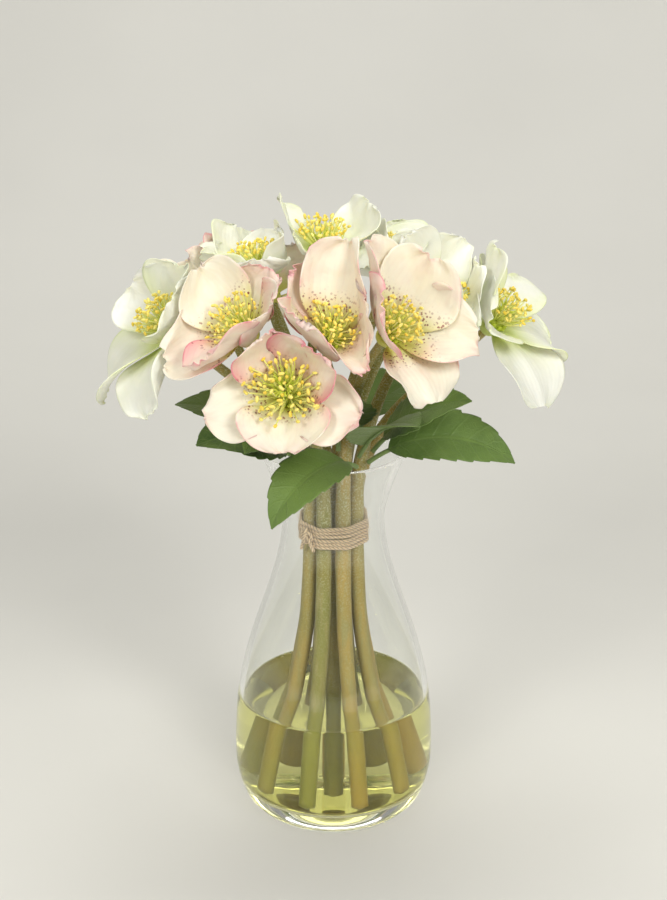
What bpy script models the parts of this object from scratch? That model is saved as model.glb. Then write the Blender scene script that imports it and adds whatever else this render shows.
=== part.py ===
"""A posy of hellebores tied with twine, standing in water in a clear glass vase.

Blender 4.5 script: blender --background --python part.py
Metres, +Z up. The origin is the middle of the vase's foot, on the surface that the vase stands on.
The posy's front faces -Y. Each sub-part is one named object.
"""

import math
import random

import bmesh
import bpy
import numpy as np
from mathutils import Vector

MM = 0.001
SEED = 7

# The vase: a waisted carafe, turned about Z.
VASE_HEIGHT = 178.6 * MM
FOOT_RADIUS = 30.0 * MM
BELLY_RADIUS = 45.0 * MM
BELLY_HEIGHT = 27.0 * MM
NECK_RADIUS = 22.6 * MM
NECK_HEIGHT = 145.4 * MM
RIM_RADIUS = 33.3 * MM
SHOULDER_FULLNESS = 1.3
FLARE_POWER = 1.3
WALL = 2.4 * MM
LIP_WALL = 2.0 * MM
FLOOR_HEIGHT = 12.0 * MM
FLOOR_RADIUS = 33.0 * MM
VASE_SIDES = 24

# The water.
WATER_LEVEL = 57.5 * MM
GAP = 0.3 * MM
SLIVER = 0.002 * MM

# The bunch: two stems in the middle and eight round them.
STEM_RADIUS = 3.45 * MM
STEM_TOP_RADIUS = 1.8 * MM
BRANCH_RADIUS = 2.4 * MM
MIDDLE_RADIUS = 3.64 * MM
RING_RADIUS = 10.5 * MM
RING_STEMS = 8
HOLE_CLEARANCE = 0.45 * MM
STEM_FOOT = 13.3 * MM
TIE_HEIGHT = 140.0 * MM
TIE_RUN = 8.0 * MM
# The bunch below the tie: heights, and the bunch's width there as a multiple of its width at the tie.
BUNCH_SPREAD = ((STEM_FOOT, 2.62), (64.0 * MM, 1.72), (92.0 * MM, 1.2), (TIE_HEIGHT - TIE_RUN, 1.0))
NECK_RISE = 42.0 * MM
HEAD_RUN = 26.0 * MM
STEM_RINGS = 5
STEM_SIDES = 6
FORK_AT = 0.34

# The twine tie.
TWINE_TURNS = 6
TWINE_DIAMETER = 1.85 * MM
TWINE_CLEARANCE = 0.35 * MM
TWINE_SIDES = 2 * RING_STEMS
KNOT_ANGLE = math.radians(226)
KNOT_SIZE = (1.5 * MM, 3.4 * MM, 2.6 * MM)

# A sepal, along its middle line u from 0 at the claw to 1 at the tip, and v from -1 to 1 across.
SEPAL_THICKNESS = 0.7 * MM
CLAW_RADIUS = 3.3 * MM
CLAW_WIDTH = 0.09
WIDEST_AT = 0.56
TIP_BLUNTNESS = 0.46
SEPAL_LEAP = 0.17
SEPAL_CUP = 0.30
SEPAL_PRESS = 8.0 * MM
MOST_CLOSED = 12
SEPAL_ROWS = (0.0, 0.24, 0.52, 0.8, 1.0)
SEPAL_COLUMNS = 4
WALL_MARGIN = 0.75 * MM
WALL_SOFTNESS = 3.0 * MM
WALL_REACH = 82.0 * MM
WALL_PASSES = 2
HEAD_DEPTH = 11.0 * MM

# The receptacle under the sepals, and the boss of stamens and carpels above them.
RECEPTACLE_RADIUS = 4.6 * MM
RECEPTACLE_DEPTH = 4.2 * MM
RECEPTACLE_TOP = 0.9 * MM
BOSS_RADIUS = 4.0 * MM
BOSS_HEIGHT = 5.0 * MM
STAMENS = 7
STAMEN_LENGTH = 12.0 * MM
STAMEN_RADIUS = 0.5 * MM
ANTHER_RADIUS = 1.15 * MM
STAMEN_SPREAD = math.radians(44)
STAMEN_MARGIN = 4.5 * MM
GOLDEN_ANGLE = math.radians(137.508)

# The leaves.
LEAF_THICKNESS = 0.8 * MM
LEAF_TEETH = 5
TOOTH_DEPTH = 0.13
PETIOLE_RADIUS = 1.1 * MM

CREAM = (0.86, 0.76, 0.66, 1.0)
WHITE = (0.88, 0.90, 0.80, 1.0)
YELLOW = (0.74, 0.66, 0.18, 1.0)
LEAF_GREEN = (0.07, 0.16, 0.04, 1.0)
STEM_GREEN = (0.33, 0.33, 0.17, 1.0)
TWINE_TAN = (0.60, 0.45, 0.31, 1.0)
GLASS = (0.93, 0.95, 0.94, 0.35)
WATER = (0.80, 0.83, 0.60, 0.6)

# The blooms. place is the top of the receptacle in millimetres. faces is the way the bloom looks: degrees round
# the vase (0 is +X, -90 the front) and degrees above level. cup is the sepals' slope above the bloom's flat, in
# degrees, at the claw and at the tip. grip says how much of the space between it and its neighbours a bloom
# takes. Each sepal has its turn about the bloom's axis in degrees, its length and width as shares of the
# bloom's, and the degrees by which it is closed up more than the cup. spin turns a ring of five even sepals.
BLOOMS = {
    "front": dict(place=(-18, -55, 222), faces=(-101, 40), length=33, width=34.5, cup=(44, -12),
                  grip=1.25, ruffle=0.085, colour="cream",
                  sepals=((112, 1.0, 1.05, 8), (48, 0.96, 1.05, 10), (-16, 0.98, 1.02, 0),
                          (-84, 0.74, 1.1, 0), (-160, 1.04, 1.0, -2))),
    "centre": dict(place=(-2, -41, 241), faces=(-80, 50), length=34, width=34, cup=(40, -6),
                   grip=1.0, ruffle=0.12, colour="cream",
                   sepals=((70, 1.20, 1.1, 10), (130, 0.95, 1.0, 8), (2, 0.95, 1.0, 0),
                           (-62, 0.84, 1.0, 2), (-150, 1.06, 1.1, 0))),
    "right": dict(place=(22, -37, 242), faces=(-50, 47), length=35, width=37, cup=(40, -6),
                  grip=1.0, ruffle=0.10, colour="cream",
                  sepals=((100, 1.10, 1.05, 8), (36, 1.0, 1.05, 2), (-28, 1.05, 1.1, -6),
                          (-92, 1.0, 1.05, -4), (174, 0.98, 1.05, 2))),
    "left": dict(place=(-35, -37, 243), faces=(-134, 46), length=33, width=34, cup=(40, -4),
                 grip=1.0, ruffle=0.10, colour="cream",
                 sepals=((84, 0.80, 0.98, 6), (14, 0.86, 1.0, 4), (-58, 1.06, 1.1, 0),
                         (-126, 1.10, 1.05, -10), (156, 0.98, 1.0, 2))),
    "far_left": dict(place=(-67, -11, 234), faces=(-160, 47), length=34, width=38, cup=(36, -18),
                     grip=1.05, ruffle=0.05, colour="white",
                     sepals=((96, 0.80, 1.0, 4), (28, 0.92, 1.0, 6), (-44, 1.24, 1.10, -14),
                             (-112, 1.24, 1.10, -14), (168, 0.90, 1.0, -2))),
    "left_back": dict(place=(-53, 13, 243), faces=(165, 62), length=28, width=30, cup=(32, -20), spin=20,
                      grip=0.9, ruffle=0.08, colour="cream"),
    "crown_left": dict(place=(-30, -1, 254), faces=(140, 74), length=29, width=33, cup=(38, -10), spin=40,
                       grip=1.15, ruffle=0.08, colour="white"),
    "crown": dict(place=(-5, 6, 262), faces=(-90, 84), length=28, width=32, cup=(24, -30), spin=18,
                  grip=1.12, ruffle=0.06, colour="white"),
    "crown_right": dict(place=(23, 16, 251), faces=(40, 70), length=29, width=32, cup=(34, -18), spin=60,
                        grip=1.0, ruffle=0.06, colour="white"),
    "upper_right": dict(place=(41, -7, 244), faces=(-30, 58), length=31, width=32, cup=(38, -12), spin=30,
                        grip=1.0, ruffle=0.07, colour="white"),
    "far_right": dict(place=(67, -2, 234), faces=(-24, 50), length=34, width=38, cup=(36, -18),
                      grip=1.05, ruffle=0.05, colour="white",
                      sepals=((96, 0.92, 1.0, 2), (26, 0.92, 1.0, 2), (-44, 1.0, 1.0, -8),
                              (-108, 1.20, 1.1, -12), (168, 0.80, 1.0, -6))),
    "back_left": dict(place=(-28, 44, 231), faces=(118, 44), length=33, width=37, cup=(34, -20), spin=30,
                      grip=1.05, ruffle=0.06, colour="cream"),
    "back_right": dict(place=(33, 45, 230), faces=(58, 44), length=33, width=37, cup=(34, -20), spin=75,
                       grip=1.05, ruffle=0.06, colour="white"),
}

# The stems: the angle in degrees at which each stands in the bunch, whether in its middle or its ring, and the
# bloom that it carries, with any that grows from its fork.
STEMS = (
    ("ring", 22.5, "far_right", None), ("ring", 67.5, "back_right", None), ("ring", 112.5, "back_left", None),
    ("ring", 157.5, "far_left", "left_back"), ("ring", 202.5, "left", None), ("ring", 247.5, "front", None),
    ("ring", 292.5, "right", "centre"), ("ring", 337.5, "upper_right", None),
    ("middle", 90.0, "crown_right", None), ("middle", 270.0, "crown_left", "crown"),
)

# The leaves. foot is where the leaf stalk meets the bunch, in millimetres. way is the leaf's heading round the
# vase in degrees. rise is its slope at the stalk and at the tip, in degrees. bend turns the heading towards the
# tip, and roll tilts the blade about its own midrib.
LEAVES = {
    "front_low": dict(foot=(10, -18, 175), way=-123, length=62, width=29, rise=(41, -69), bend=-26, roll=-12),
    "front_high": dict(foot=(-14, -15, 185), way=-125, length=42, width=26, rise=(61, -40), bend=-10, roll=-20),
    "left_low": dict(foot=(-15, -11, 175), way=-152, length=56, width=34, rise=(48, -8), bend=8, roll=-22),
    "left_high": dict(foot=(-21, 0, 173), way=176, length=56, width=32, rise=(56, -8), bend=-4, roll=-7),
    "right_low": dict(foot=(15, -11, 174), way=-6, length=70, width=30, rise=(44, -42), bend=6, roll=30),
    "right_high": dict(foot=(17, -8, 178), way=-22, length=56, width=28, rise=(60, 8), bend=0, roll=25),
    "front_right": dict(foot=(11, -16, 179), way=-55, length=50, width=34, rise=(64, 4), bend=6, roll=0),
    "front_centre": dict(foot=(2, -18, 183), way=-91, length=42, width=34, rise=(78, 29), bend=0, roll=-1),
    "back_right": dict(foot=(11, 17, 175), way=55, length=60, width=28, rise=(47, -28), bend=-14, roll=10),
    "back_left": dict(foot=(-11, 16, 175), way=126, length=58, width=27, rise=(46, -26), bend=14, roll=-8),
}


def clear_scene():
    """Removes the objects of the startup scene."""
    for obj in list(bpy.data.objects):
        bpy.data.objects.remove(obj)


def material(name, colour, roughness):
    """A Principled material of one colour."""
    made = bpy.data.materials.new(name)
    made.use_nodes = True
    shader = made.node_tree.nodes["Principled BSDF"]
    shader.inputs["Base Color"].default_value = colour
    shader.inputs["Roughness"].default_value = roughness
    shader.inputs["Alpha"].default_value = colour[3]
    return made


def mesh_object(name, mesh, finish, collection=None):
    """Links a mesh as an object with its material, shaded smooth but for its sharp edges."""
    obj = bpy.data.objects.new(name, mesh)
    (collection or bpy.context.scene.collection).objects.link(obj)
    if finish:
        mesh.materials.clear()
        mesh.materials.append(finish)
        mesh.shade_smooth()
        mesh.set_sharp_from_angle(angle=math.radians(40))
    return obj


def turned(name, profile, sides):
    """A closed body turned about Z from a profile of (radius, height) points, which starts and ends on the axis."""
    shape = bmesh.new()
    last = None
    first_ring = None
    for radius, height in profile:
        if radius == 0.0:
            ring = [shape.verts.new((0.0, 0.0, height))]
        else:
            ring = [shape.verts.new((radius * math.cos(math.tau * i / sides),
                                     radius * math.sin(math.tau * i / sides), height)) for i in range(sides)]
        join_rings(shape, last, ring)
        first_ring = first_ring or ring
        last = ring
    if len(first_ring) > 1:
        join_rings(shape, last, first_ring)
    bmesh.ops.recalc_face_normals(shape, faces=shape.faces)
    mesh = bpy.data.meshes.new(name)
    shape.to_mesh(mesh)
    shape.free()
    return mesh


def join_rings(shape, low, high):
    """Faces between two rings of vertices, either of which may be a single point."""
    if low is None:
        return
    sides = max(len(low), len(high))
    for i in range(sides):
        j = (i + 1) % sides
        if len(low) == 1:
            shape.faces.new((low[0], high[j], high[i]))
        elif len(high) == 1:
            shape.faces.new((low[i], low[j], high[0]))
        else:
            shape.faces.new((low[i], low[j], high[j], high[i]))


def vase_radius(height):
    """The vase's outer radius at a height: a quarter ellipse under the belly, a lopsided cosine from the belly
    to the neck, and a power curve out to the rim."""
    if height < BELLY_HEIGHT:
        fall = (BELLY_HEIGHT - height) / BELLY_HEIGHT
        return FOOT_RADIUS + (BELLY_RADIUS - FOOT_RADIUS) * math.sqrt(max(0.0, 1.0 - fall * fall))
    if height < NECK_HEIGHT:
        climb = ((height - BELLY_HEIGHT) / (NECK_HEIGHT - BELLY_HEIGHT)) ** SHOULDER_FULLNESS
        return NECK_RADIUS + (BELLY_RADIUS - NECK_RADIUS) * 0.5 * (1.0 + math.cos(math.pi * climb))
    flare = (height - NECK_HEIGHT) / (VASE_HEIGHT - NECK_HEIGHT)
    return NECK_RADIUS + (RIM_RADIUS - NECK_RADIUS) * flare ** FLARE_POWER


def bore_radius(height):
    """The vase's inner radius at a height: the outer one less the wall, drawn in to the flat floor."""
    radius = vase_radius(height) - WALL
    if height < BELLY_HEIGHT:
        fall = (BELLY_HEIGHT - height) / (BELLY_HEIGHT - FLOOR_HEIGHT)
        radius = FLOOR_RADIUS + (BELLY_RADIUS - WALL - FLOOR_RADIUS) * math.sqrt(max(0.0, 1.0 - fall * fall))
    return radius


def make_vase(finish):
    """The glass: a thick base, a thin wall and a rounded lip."""
    quarter = [BELLY_HEIGHT * (1.0 - math.cos(math.radians(a))) for a in (0, 35, 62, 90)]
    walls = [42 * MM, WATER_LEVEL, 76 * MM, 98 * MM, 120 * MM, 136 * MM, 150 * MM, 164 * MM]
    outer = quarter + walls
    inner = walls[::-1] + [BELLY_HEIGHT, 17 * MM]
    profile = [(0.0, 0.0)] + [(vase_radius(z), z) for z in outer]
    profile += [(RIM_RADIUS, VASE_HEIGHT - 0.6 * LIP_WALL), (RIM_RADIUS - 0.5 * LIP_WALL, VASE_HEIGHT),
                (RIM_RADIUS - LIP_WALL, VASE_HEIGHT - 0.6 * LIP_WALL)]
    profile += [(bore_radius(z), z) for z in inner]
    profile += [(FLOOR_RADIUS, FLOOR_HEIGHT), (0.0, FLOOR_HEIGHT)]
    return mesh_object("vase", turned("vase", profile, VASE_SIDES), finish)


def stem_places():
    """Where each stem stands in the bunch, level with the tie, as (x, y)."""
    radii = {"middle": MIDDLE_RADIUS, "ring": RING_RADIUS}
    return [(radii[where] * math.cos(math.radians(angle)), radii[where] * math.sin(math.radians(angle)))
            for where, angle, _, _ in STEMS]


def stem_below(x, y):
    """A stem's points from its foot to the tie: straight until it is out of the water, then drawn in."""
    return [Vector((x * spread, y * spread, height)) for height, spread in BUNCH_SPREAD]


def tube(name, points, radii, sides):
    """A closed tube through points, each with its own radius, as a bevelled curve turned to a mesh."""
    curve = bpy.data.curves.new(name, "CURVE")
    curve.dimensions = "3D"
    curve.bevel_depth = 1.0
    curve.bevel_resolution = sides // 2 - 2
    curve.use_fill_caps = True
    curve.twist_mode = "MINIMUM"
    spline = curve.splines.new("POLY")
    spline.points.add(len(points) - 1)
    for knot, at, radius in zip(spline.points, points, radii):
        knot.co = (*at, 1.0)
        knot.radius = radius
    guide = bpy.data.objects.new(name, curve)
    bpy.context.scene.collection.objects.link(guide)
    mesh = bpy.data.meshes.new_from_object(guide.evaluated_get(bpy.context.evaluated_depsgraph_get()))
    bpy.data.objects.remove(guide)
    shape = bmesh.new()
    shape.from_mesh(mesh)
    bmesh.ops.remove_doubles(shape, verts=shape.verts, dist=0.001 * MM)
    bmesh.ops.recalc_face_normals(shape, faces=shape.faces)
    shape.to_mesh(mesh)
    shape.free()
    return mesh


def group(name):
    """A new collection for shapes that are about to be joined or cut away."""
    made = bpy.data.collections.new(name)
    bpy.context.scene.collection.children.link(made)
    return made


def make_water(finish):
    """The water up to its level, with a plain hole for each stem."""
    heights = [17 * MM, BELLY_HEIGHT, 42 * MM, WATER_LEVEL]
    profile = [(0.0, FLOOR_HEIGHT + GAP), (FLOOR_RADIUS - GAP, FLOOR_HEIGHT + GAP)]
    profile += [(bore_radius(z) - GAP, z) for z in heights] + [(0.0, WATER_LEVEL)]
    water = mesh_object("water", turned("water", profile, VASE_SIDES), finish)
    drills = group("drills")
    radius = STEM_RADIUS + HOLE_CLEARANCE
    for x, y in stem_places():
        low, high = stem_below(x, y)[:2]
        ends = [low + (low - high) * 0.2, high]
        mesh_object("drill", tube("drill", ends, [radius, radius], STEM_SIDES), None, drills)
    apply_boolean(water, drills, "DIFFERENCE")
    return water


def apply_boolean(obj, others, operation):
    """Joins or cuts obj with every object of a collection, keeps the result and removes those objects."""
    modifier = obj.modifiers.new("boolean", "BOOLEAN")
    modifier.operation = operation
    modifier.operand_type = "COLLECTION"
    modifier.collection = others
    for solver in ("EXACT", "MANIFOLD"):
        modifier.solver = solver
        bpy.context.view_layer.update()
        result = bpy.data.meshes.new_from_object(obj.evaluated_get(bpy.context.evaluated_depsgraph_get()))
        if closed_triangles(result):
            break
    finish = obj.data.materials[0]
    for extra in list(obj.modifiers):
        obj.modifiers.remove(extra)
    obj.data = result
    result.materials.clear()
    result.materials.append(finish)
    result.shade_smooth()
    result.set_sharp_from_angle(angle=math.radians(40))
    for helper in list(others.objects):
        bpy.data.objects.remove(helper)
    bpy.data.collections.remove(others)


def closed_triangles(mesh):
    """Splits a mesh into triangles, with slivers closed up and folded pairs of faces taken out, and says whether
    each edge has just two of them."""
    shape = bmesh.new()
    shape.from_mesh(mesh)
    bmesh.ops.remove_doubles(shape, verts=shape.verts, dist=SLIVER)
    bmesh.ops.dissolve_degenerate(shape, edges=shape.edges, dist=SLIVER)
    bmesh.ops.triangulate(shape, faces=shape.faces)
    seen = {}
    for face in shape.faces:
        seen.setdefault(frozenset(vertex.index for vertex in face.verts), []).append(face)
    folded = [face for faces in seen.values() if len(faces) == 2 for face in faces]
    bmesh.ops.delete(shape, geom=folded, context="FACES")
    sound = all(edge.is_manifold for edge in shape.edges)
    shape.to_mesh(mesh)
    shape.free()
    return sound


def bundle_radius(angle, round_radius):
    """The radius, at an angle, of a band drawn tight round the ring of stems, each taken as a circle of
    round_radius: an arc round each stem and a straight run between two of them."""
    half = math.pi / RING_STEMS
    turn = abs(angle % (2 * half) - half)
    edge = math.atan2(math.sin(half) * round_radius, RING_RADIUS + math.cos(half) * round_radius)
    if turn < edge:
        return RING_RADIUS * math.cos(turn) + math.sqrt(round_radius**2 - (RING_RADIUS * math.sin(turn)) ** 2)
    return (RING_RADIUS * math.cos(half) + round_radius) / math.cos(half - turn)


def make_twine(finish):
    """The twine: turns of cord lying on each other round the bunch, fused, with the knot on the front left."""
    half = TWINE_DIAMETER / 2
    bottom = TIE_HEIGHT - TWINE_TURNS * half
    section = []
    for turn in range(TWINE_TURNS):
        section += [(0.35, turn * 2.0), (2.0, turn * 2.0 + 1.0)]
    section += [(0.35, TWINE_TURNS * 2.0), (0.0, TWINE_TURNS * 2.0 - 0.4), (0.0, 0.4)]
    shape = bmesh.new()
    rings = []
    for i in range(TWINE_SIDES):
        angle = math.tau * i / TWINE_SIDES
        clear = bundle_radius(angle, STEM_RADIUS + TWINE_CLEARANCE)
        ring = [shape.verts.new(((clear + out * half) * math.cos(angle), (clear + out * half) * math.sin(angle),
                                 bottom + up * half)) for out, up in section]
        rings.append(ring)
    for i, ring in enumerate(rings):
        join_rings(shape, ring, rings[(i + 1) % TWINE_SIDES])
    bmesh.ops.recalc_face_normals(shape, faces=shape.faces)
    mesh = bpy.data.meshes.new("twine")
    shape.to_mesh(mesh)
    shape.free()
    twine = mesh_object("twine", mesh, finish)
    knots = group("knots")
    shape = bmesh.new()
    bmesh.ops.create_icosphere(shape, subdivisions=1, radius=1.0)
    out = bundle_radius(KNOT_ANGLE, STEM_RADIUS + TWINE_CLEARANCE) + TWINE_DIAMETER * 0.9
    for v in shape.verts:
        radial, along, up = (c * size for c, size in zip(v.co, KNOT_SIZE))
        v.co = Vector(((out + radial) * math.cos(KNOT_ANGLE) - along * math.sin(KNOT_ANGLE),
                       (out + radial) * math.sin(KNOT_ANGLE) + along * math.cos(KNOT_ANGLE), TIE_HEIGHT + up))
    mesh = bpy.data.meshes.new("knot")
    shape.to_mesh(mesh)
    shape.free()
    mesh_object("knot", mesh, None, knots)
    apply_boolean(twine, knots, "UNION")
    return twine


def facing(degrees_round, degrees_up):
    """The unit vector that points this way round the vase and this far above level."""
    a, e = math.radians(degrees_round), math.radians(degrees_up)
    return Vector((math.cos(a) * math.cos(e), math.sin(a) * math.cos(e), math.sin(e)))


def bloom_frame(bloom):
    """(place, right, up, out): the bloom's own axes, with out along the way it faces and up as near to +Z as
    it can be."""
    out = facing(*bloom["faces"])
    up = (Vector((0, 0, 1)) - out * out.z).normalized()
    return Vector(bloom["place"]) * MM, up.cross(out), up, out


def walls_of(name):
    """The planes that part a bloom from its neighbours, as (point, normal towards the neighbour, way up)."""
    place, _, _, out = bloom_frame(BLOOMS[name])
    head = place + out * HEAD_DEPTH
    found = []
    for other, bloom in BLOOMS.items():
        if other == name:
            continue
        its_place, _, _, its_out = bloom_frame(bloom)
        its_head = its_place + its_out * HEAD_DEPTH
        apart = its_head - head
        if apart.length > WALL_REACH:
            continue
        share = BLOOMS[name]["grip"] / (BLOOMS[name]["grip"] + bloom["grip"])
        normal = apart.normalized()
        rise = out + its_out
        rise = (rise - normal * rise.dot(normal)).normalized()
        found.append((np.array(head + apart * share), np.array(normal), np.array(rise)))
    return found


def bent_clear(points, walls):
    """Points of a sepal, turned up along each wall that they would pass, so that neighbours only press together."""
    for _ in range(WALL_PASSES):
        for point, normal, rise in walls:
            beyond = (points - point) @ normal + WALL_MARGIN
            over = 0.5 * (beyond + np.sqrt(beyond**2 + WALL_SOFTNESS**2))
            over = np.where(beyond > -3.0 * WALL_SOFTNESS, over, 0.0)
            points = points - over[..., None] * normal + 0.85 * over[..., None] * rise
    return points


def half_width(u):
    """A sepal's half width as a share of its widest: a quarter sine up from the claw, then a round end."""
    swell = CLAW_WIDTH + (1.0 - CLAW_WIDTH) * np.sin(0.5 * np.pi * np.clip(u / WIDEST_AT, 0.0, 1.0))
    fall = np.clip((u - WIDEST_AT) / TIP_BLUNTNESS, 0.0, 1.0)
    return swell * np.sqrt(1.0 - fall**2)


def sepals_of(name):
    """The sepals of a bloom, as dicts: its own list, or else five alike but for small seeded changes. A sepal that
    would press too far into the neighbours closes up. Of two sepals side by side, the more closed one has its
    edge inside, and the other outside."""
    bloom = BLOOMS[name]
    draw = random.Random(f"{SEED} {name}")
    given = bloom.get("sepals")
    if given is None:
        given = [(bloom["spin"] + 72 * i + draw.uniform(-6, 6), draw.uniform(0.93, 1.06),
                  draw.uniform(0.94, 1.06), draw.uniform(-5, 5)) for i in range(5)]
    sepals = [dict(turn=turn % 360, length=bloom["length"] * MM * length, width=bloom["width"] * MM * width,
                   tilt=tilt, phase=draw.uniform(0, math.tau), before=1, after=1)
              for turn, length, width, tilt in given]
    sepals.sort(key=lambda sepal: sepal["turn"])
    walls = walls_of(name)
    v, u = np.meshgrid((-1.0, -0.5, 0.0, 0.5, 1.0), (0.4, 0.7, 0.9, 1.0))
    for sepal in sepals:
        most = sepal["tilt"] + MOST_CLOSED
        while sepal["tilt"] < most and pressed(open_points(name, sepal, u, v), walls) > SEPAL_PRESS:
            sepal["tilt"] += 3
    for sepal, following in zip(sepals, sepals[1:] + sepals[:1]):
        inside = 1 if sepal["tilt"] >= following["tilt"] else -1
        sepal["after"], following["before"] = inside, -inside
    return sepals


def pressed(points, walls):
    """How far points pass beyond the walls of a bloom."""
    return max(((points - point) @ normal + WALL_MARGIN).max() for point, normal, _ in walls)


def open_points(name, sepal, u, v):
    """World points of one sepal, as it would be with no neighbours, at the grid values u and v. Its middle line
    is an arc of evenly changing slope, its sides lift with the square of their distance from that line and
    with the edges' order, and its edges wave."""
    bloom = BLOOMS[name]
    place, right, up, out = (np.array(a) for a in bloom_frame(bloom))
    length, width = sepal["length"], sepal["width"]
    low, high = (math.radians(a + sepal["tilt"]) for a in bloom["cup"])
    slope = low + (high - low) * u
    reach = CLAW_RADIUS + length * (np.sin(slope) - math.sin(low)) / (high - low)
    height = length * (math.cos(low) - np.cos(slope)) / (high - low)
    across = 0.5 * width * half_width(u) * v
    lift = SEPAL_CUP * across**2 / (0.5 * width)
    lift = lift + SEPAL_LEAP * np.abs(across) * np.where(v > 0.0, sepal["after"], sepal["before"])
    wave = np.sin(math.tau * 1.35 * u + sepal["phase"] + 0.9 * np.sign(v))
    lift = lift + bloom["ruffle"] * width * np.abs(v) ** 2.5 * u**1.5 * wave
    radial = reach - np.sin(slope) * lift
    rise = height + np.cos(slope) * lift
    c, s = math.cos(math.radians(sepal["turn"])), math.sin(math.radians(sepal["turn"]))
    way, side = c * right + s * up, -s * right + c * up
    return place + radial[..., None] * way + across[..., None] * side + rise[..., None] * out


def sepal_points(name, sepal, u, v):
    """World points of one sepal among its neighbours."""
    return bent_clear(open_points(name, sepal, u, v), walls_of(name))


def grid_mesh(name, points):
    """A sheet of quads from a grid of points."""
    rows, columns = points.shape[:2]
    corners = [(r * columns + c, r * columns + c + 1, (r + 1) * columns + c + 1, (r + 1) * columns + c)
               for r in range(rows - 1) for c in range(columns - 1)]
    mesh = bpy.data.meshes.new(name)
    mesh.from_pydata([tuple(p) for p in points.reshape(-1, 3)], [], corners)
    return mesh


def slab(name, points, thickness, collection):
    """A blade: the sheet through a grid of points, split into triangles alike on both faces and made solid."""
    obj = mesh_object(name, grid_mesh(name, points), None, collection)
    split = obj.modifiers.new("split", "TRIANGULATE")
    split.quad_method = "SHORTEST_DIAGONAL"
    solid = obj.modifiers.new("solid", "SOLIDIFY")
    solid.thickness = thickness
    solid.offset = 0.0
    return obj


def along(place, right, up, out, profile, sides):
    """A closed body turned about a bloom's axis from (radius, distance along the axis) points."""
    mesh = turned("turned", profile, sides)
    for vertex in mesh.vertices:
        x, y, z = vertex.co
        vertex.co = place + right * x + up * y + out * z
    return mesh


def make_sepals(name, finish):
    """One bloom's sepals, fused to the receptacle that they grow from."""
    frame = bloom_frame(BLOOMS[name])
    profile = [(0.0, -RECEPTACLE_DEPTH), (0.55 * RECEPTACLE_RADIUS, -RECEPTACLE_DEPTH),
               (RECEPTACLE_RADIUS, -1.2 * MM), (0.9 * RECEPTACLE_RADIUS, RECEPTACLE_TOP), (0.0, RECEPTACLE_TOP)]
    head = mesh_object(f"bloom_{name}_sepals", along(*frame, profile, 6), finish)
    blades = group("blades")
    v, u = np.meshgrid(np.linspace(-1, 1, SEPAL_COLUMNS + 1), np.array(SEPAL_ROWS))
    for sepal in sepals_of(name):
        slab("blade", sepal_points(name, sepal, u, v), SEPAL_THICKNESS, blades)
    apply_boolean(head, blades, "UNION")
    return head


def make_stamens(name, finish):
    """One bloom's boss of carpels with its stamens, spread evenly by the golden angle."""
    bloom = BLOOMS[name]
    place, right, up, out = bloom_frame(bloom)
    foot = RECEPTACLE_TOP + GAP
    profile = [(0.0, foot), (0.66 * BOSS_RADIUS, foot), (BOSS_RADIUS, foot + 0.45 * BOSS_HEIGHT),
               (0.5 * BOSS_RADIUS, foot + 0.9 * BOSS_HEIGHT), (0.0, foot + BOSS_HEIGHT)]
    boss = mesh_object(f"bloom_{name}_stamens", along(place, right, up, out, profile, 6), finish)
    rods = group("rods")
    draw = random.Random(f"{SEED} {name} stamens")
    for i in range(STAMENS):
        lean = STAMEN_SPREAD * math.sqrt((i + 0.5) / STAMENS)
        turn = i * GOLDEN_ANGLE + draw.uniform(-0.2, 0.2)
        way = out * math.cos(lean) + (right * math.cos(turn) + up * math.sin(turn)) * math.sin(lean)
        root = place + out * (foot + 0.45 * BOSS_HEIGHT) + way * 0.4 * BOSS_RADIUS
        tip = root + way * (STAMEN_LENGTH * draw.uniform(0.85, 1.1) - 0.4 * BOSS_RADIUS)
        for point, normal, _ in walls_of(name):
            tip -= Vector(normal) * max(0.0, (tip - Vector(point)).dot(Vector(normal)) + STAMEN_MARGIN)
        length = (tip - root).length
        way = (tip - root).normalized()
        side = way.orthogonal().normalized()
        profile = [(0.0, 0.0), (STAMEN_RADIUS, 0.0), (ANTHER_RADIUS, 0.86 * length), (0.0, length)]
        mesh_object("rod", along(root, side, way.cross(side), way, profile, 3), None, rods)
    apply_boolean(boss, rods, "UNION")
    return boss


def bend(start, leave, arrive, end, share):
    """A point on the smooth bend from start to end, which leaves and arrives by way of two handles."""
    rest = 1.0 - share
    return start * rest**3 + leave * 3 * share * rest**2 + arrive * 3 * share**2 * rest + end * share**3


def head_end(name):
    """(top, handle): where a stem meets the back of a bloom, and the point behind it that it arrives from."""
    place, _, _, out = bloom_frame(BLOOMS[name])
    top = place - out * (RECEPTACLE_DEPTH + GAP)
    return top, top - out * HEAD_RUN


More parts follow.
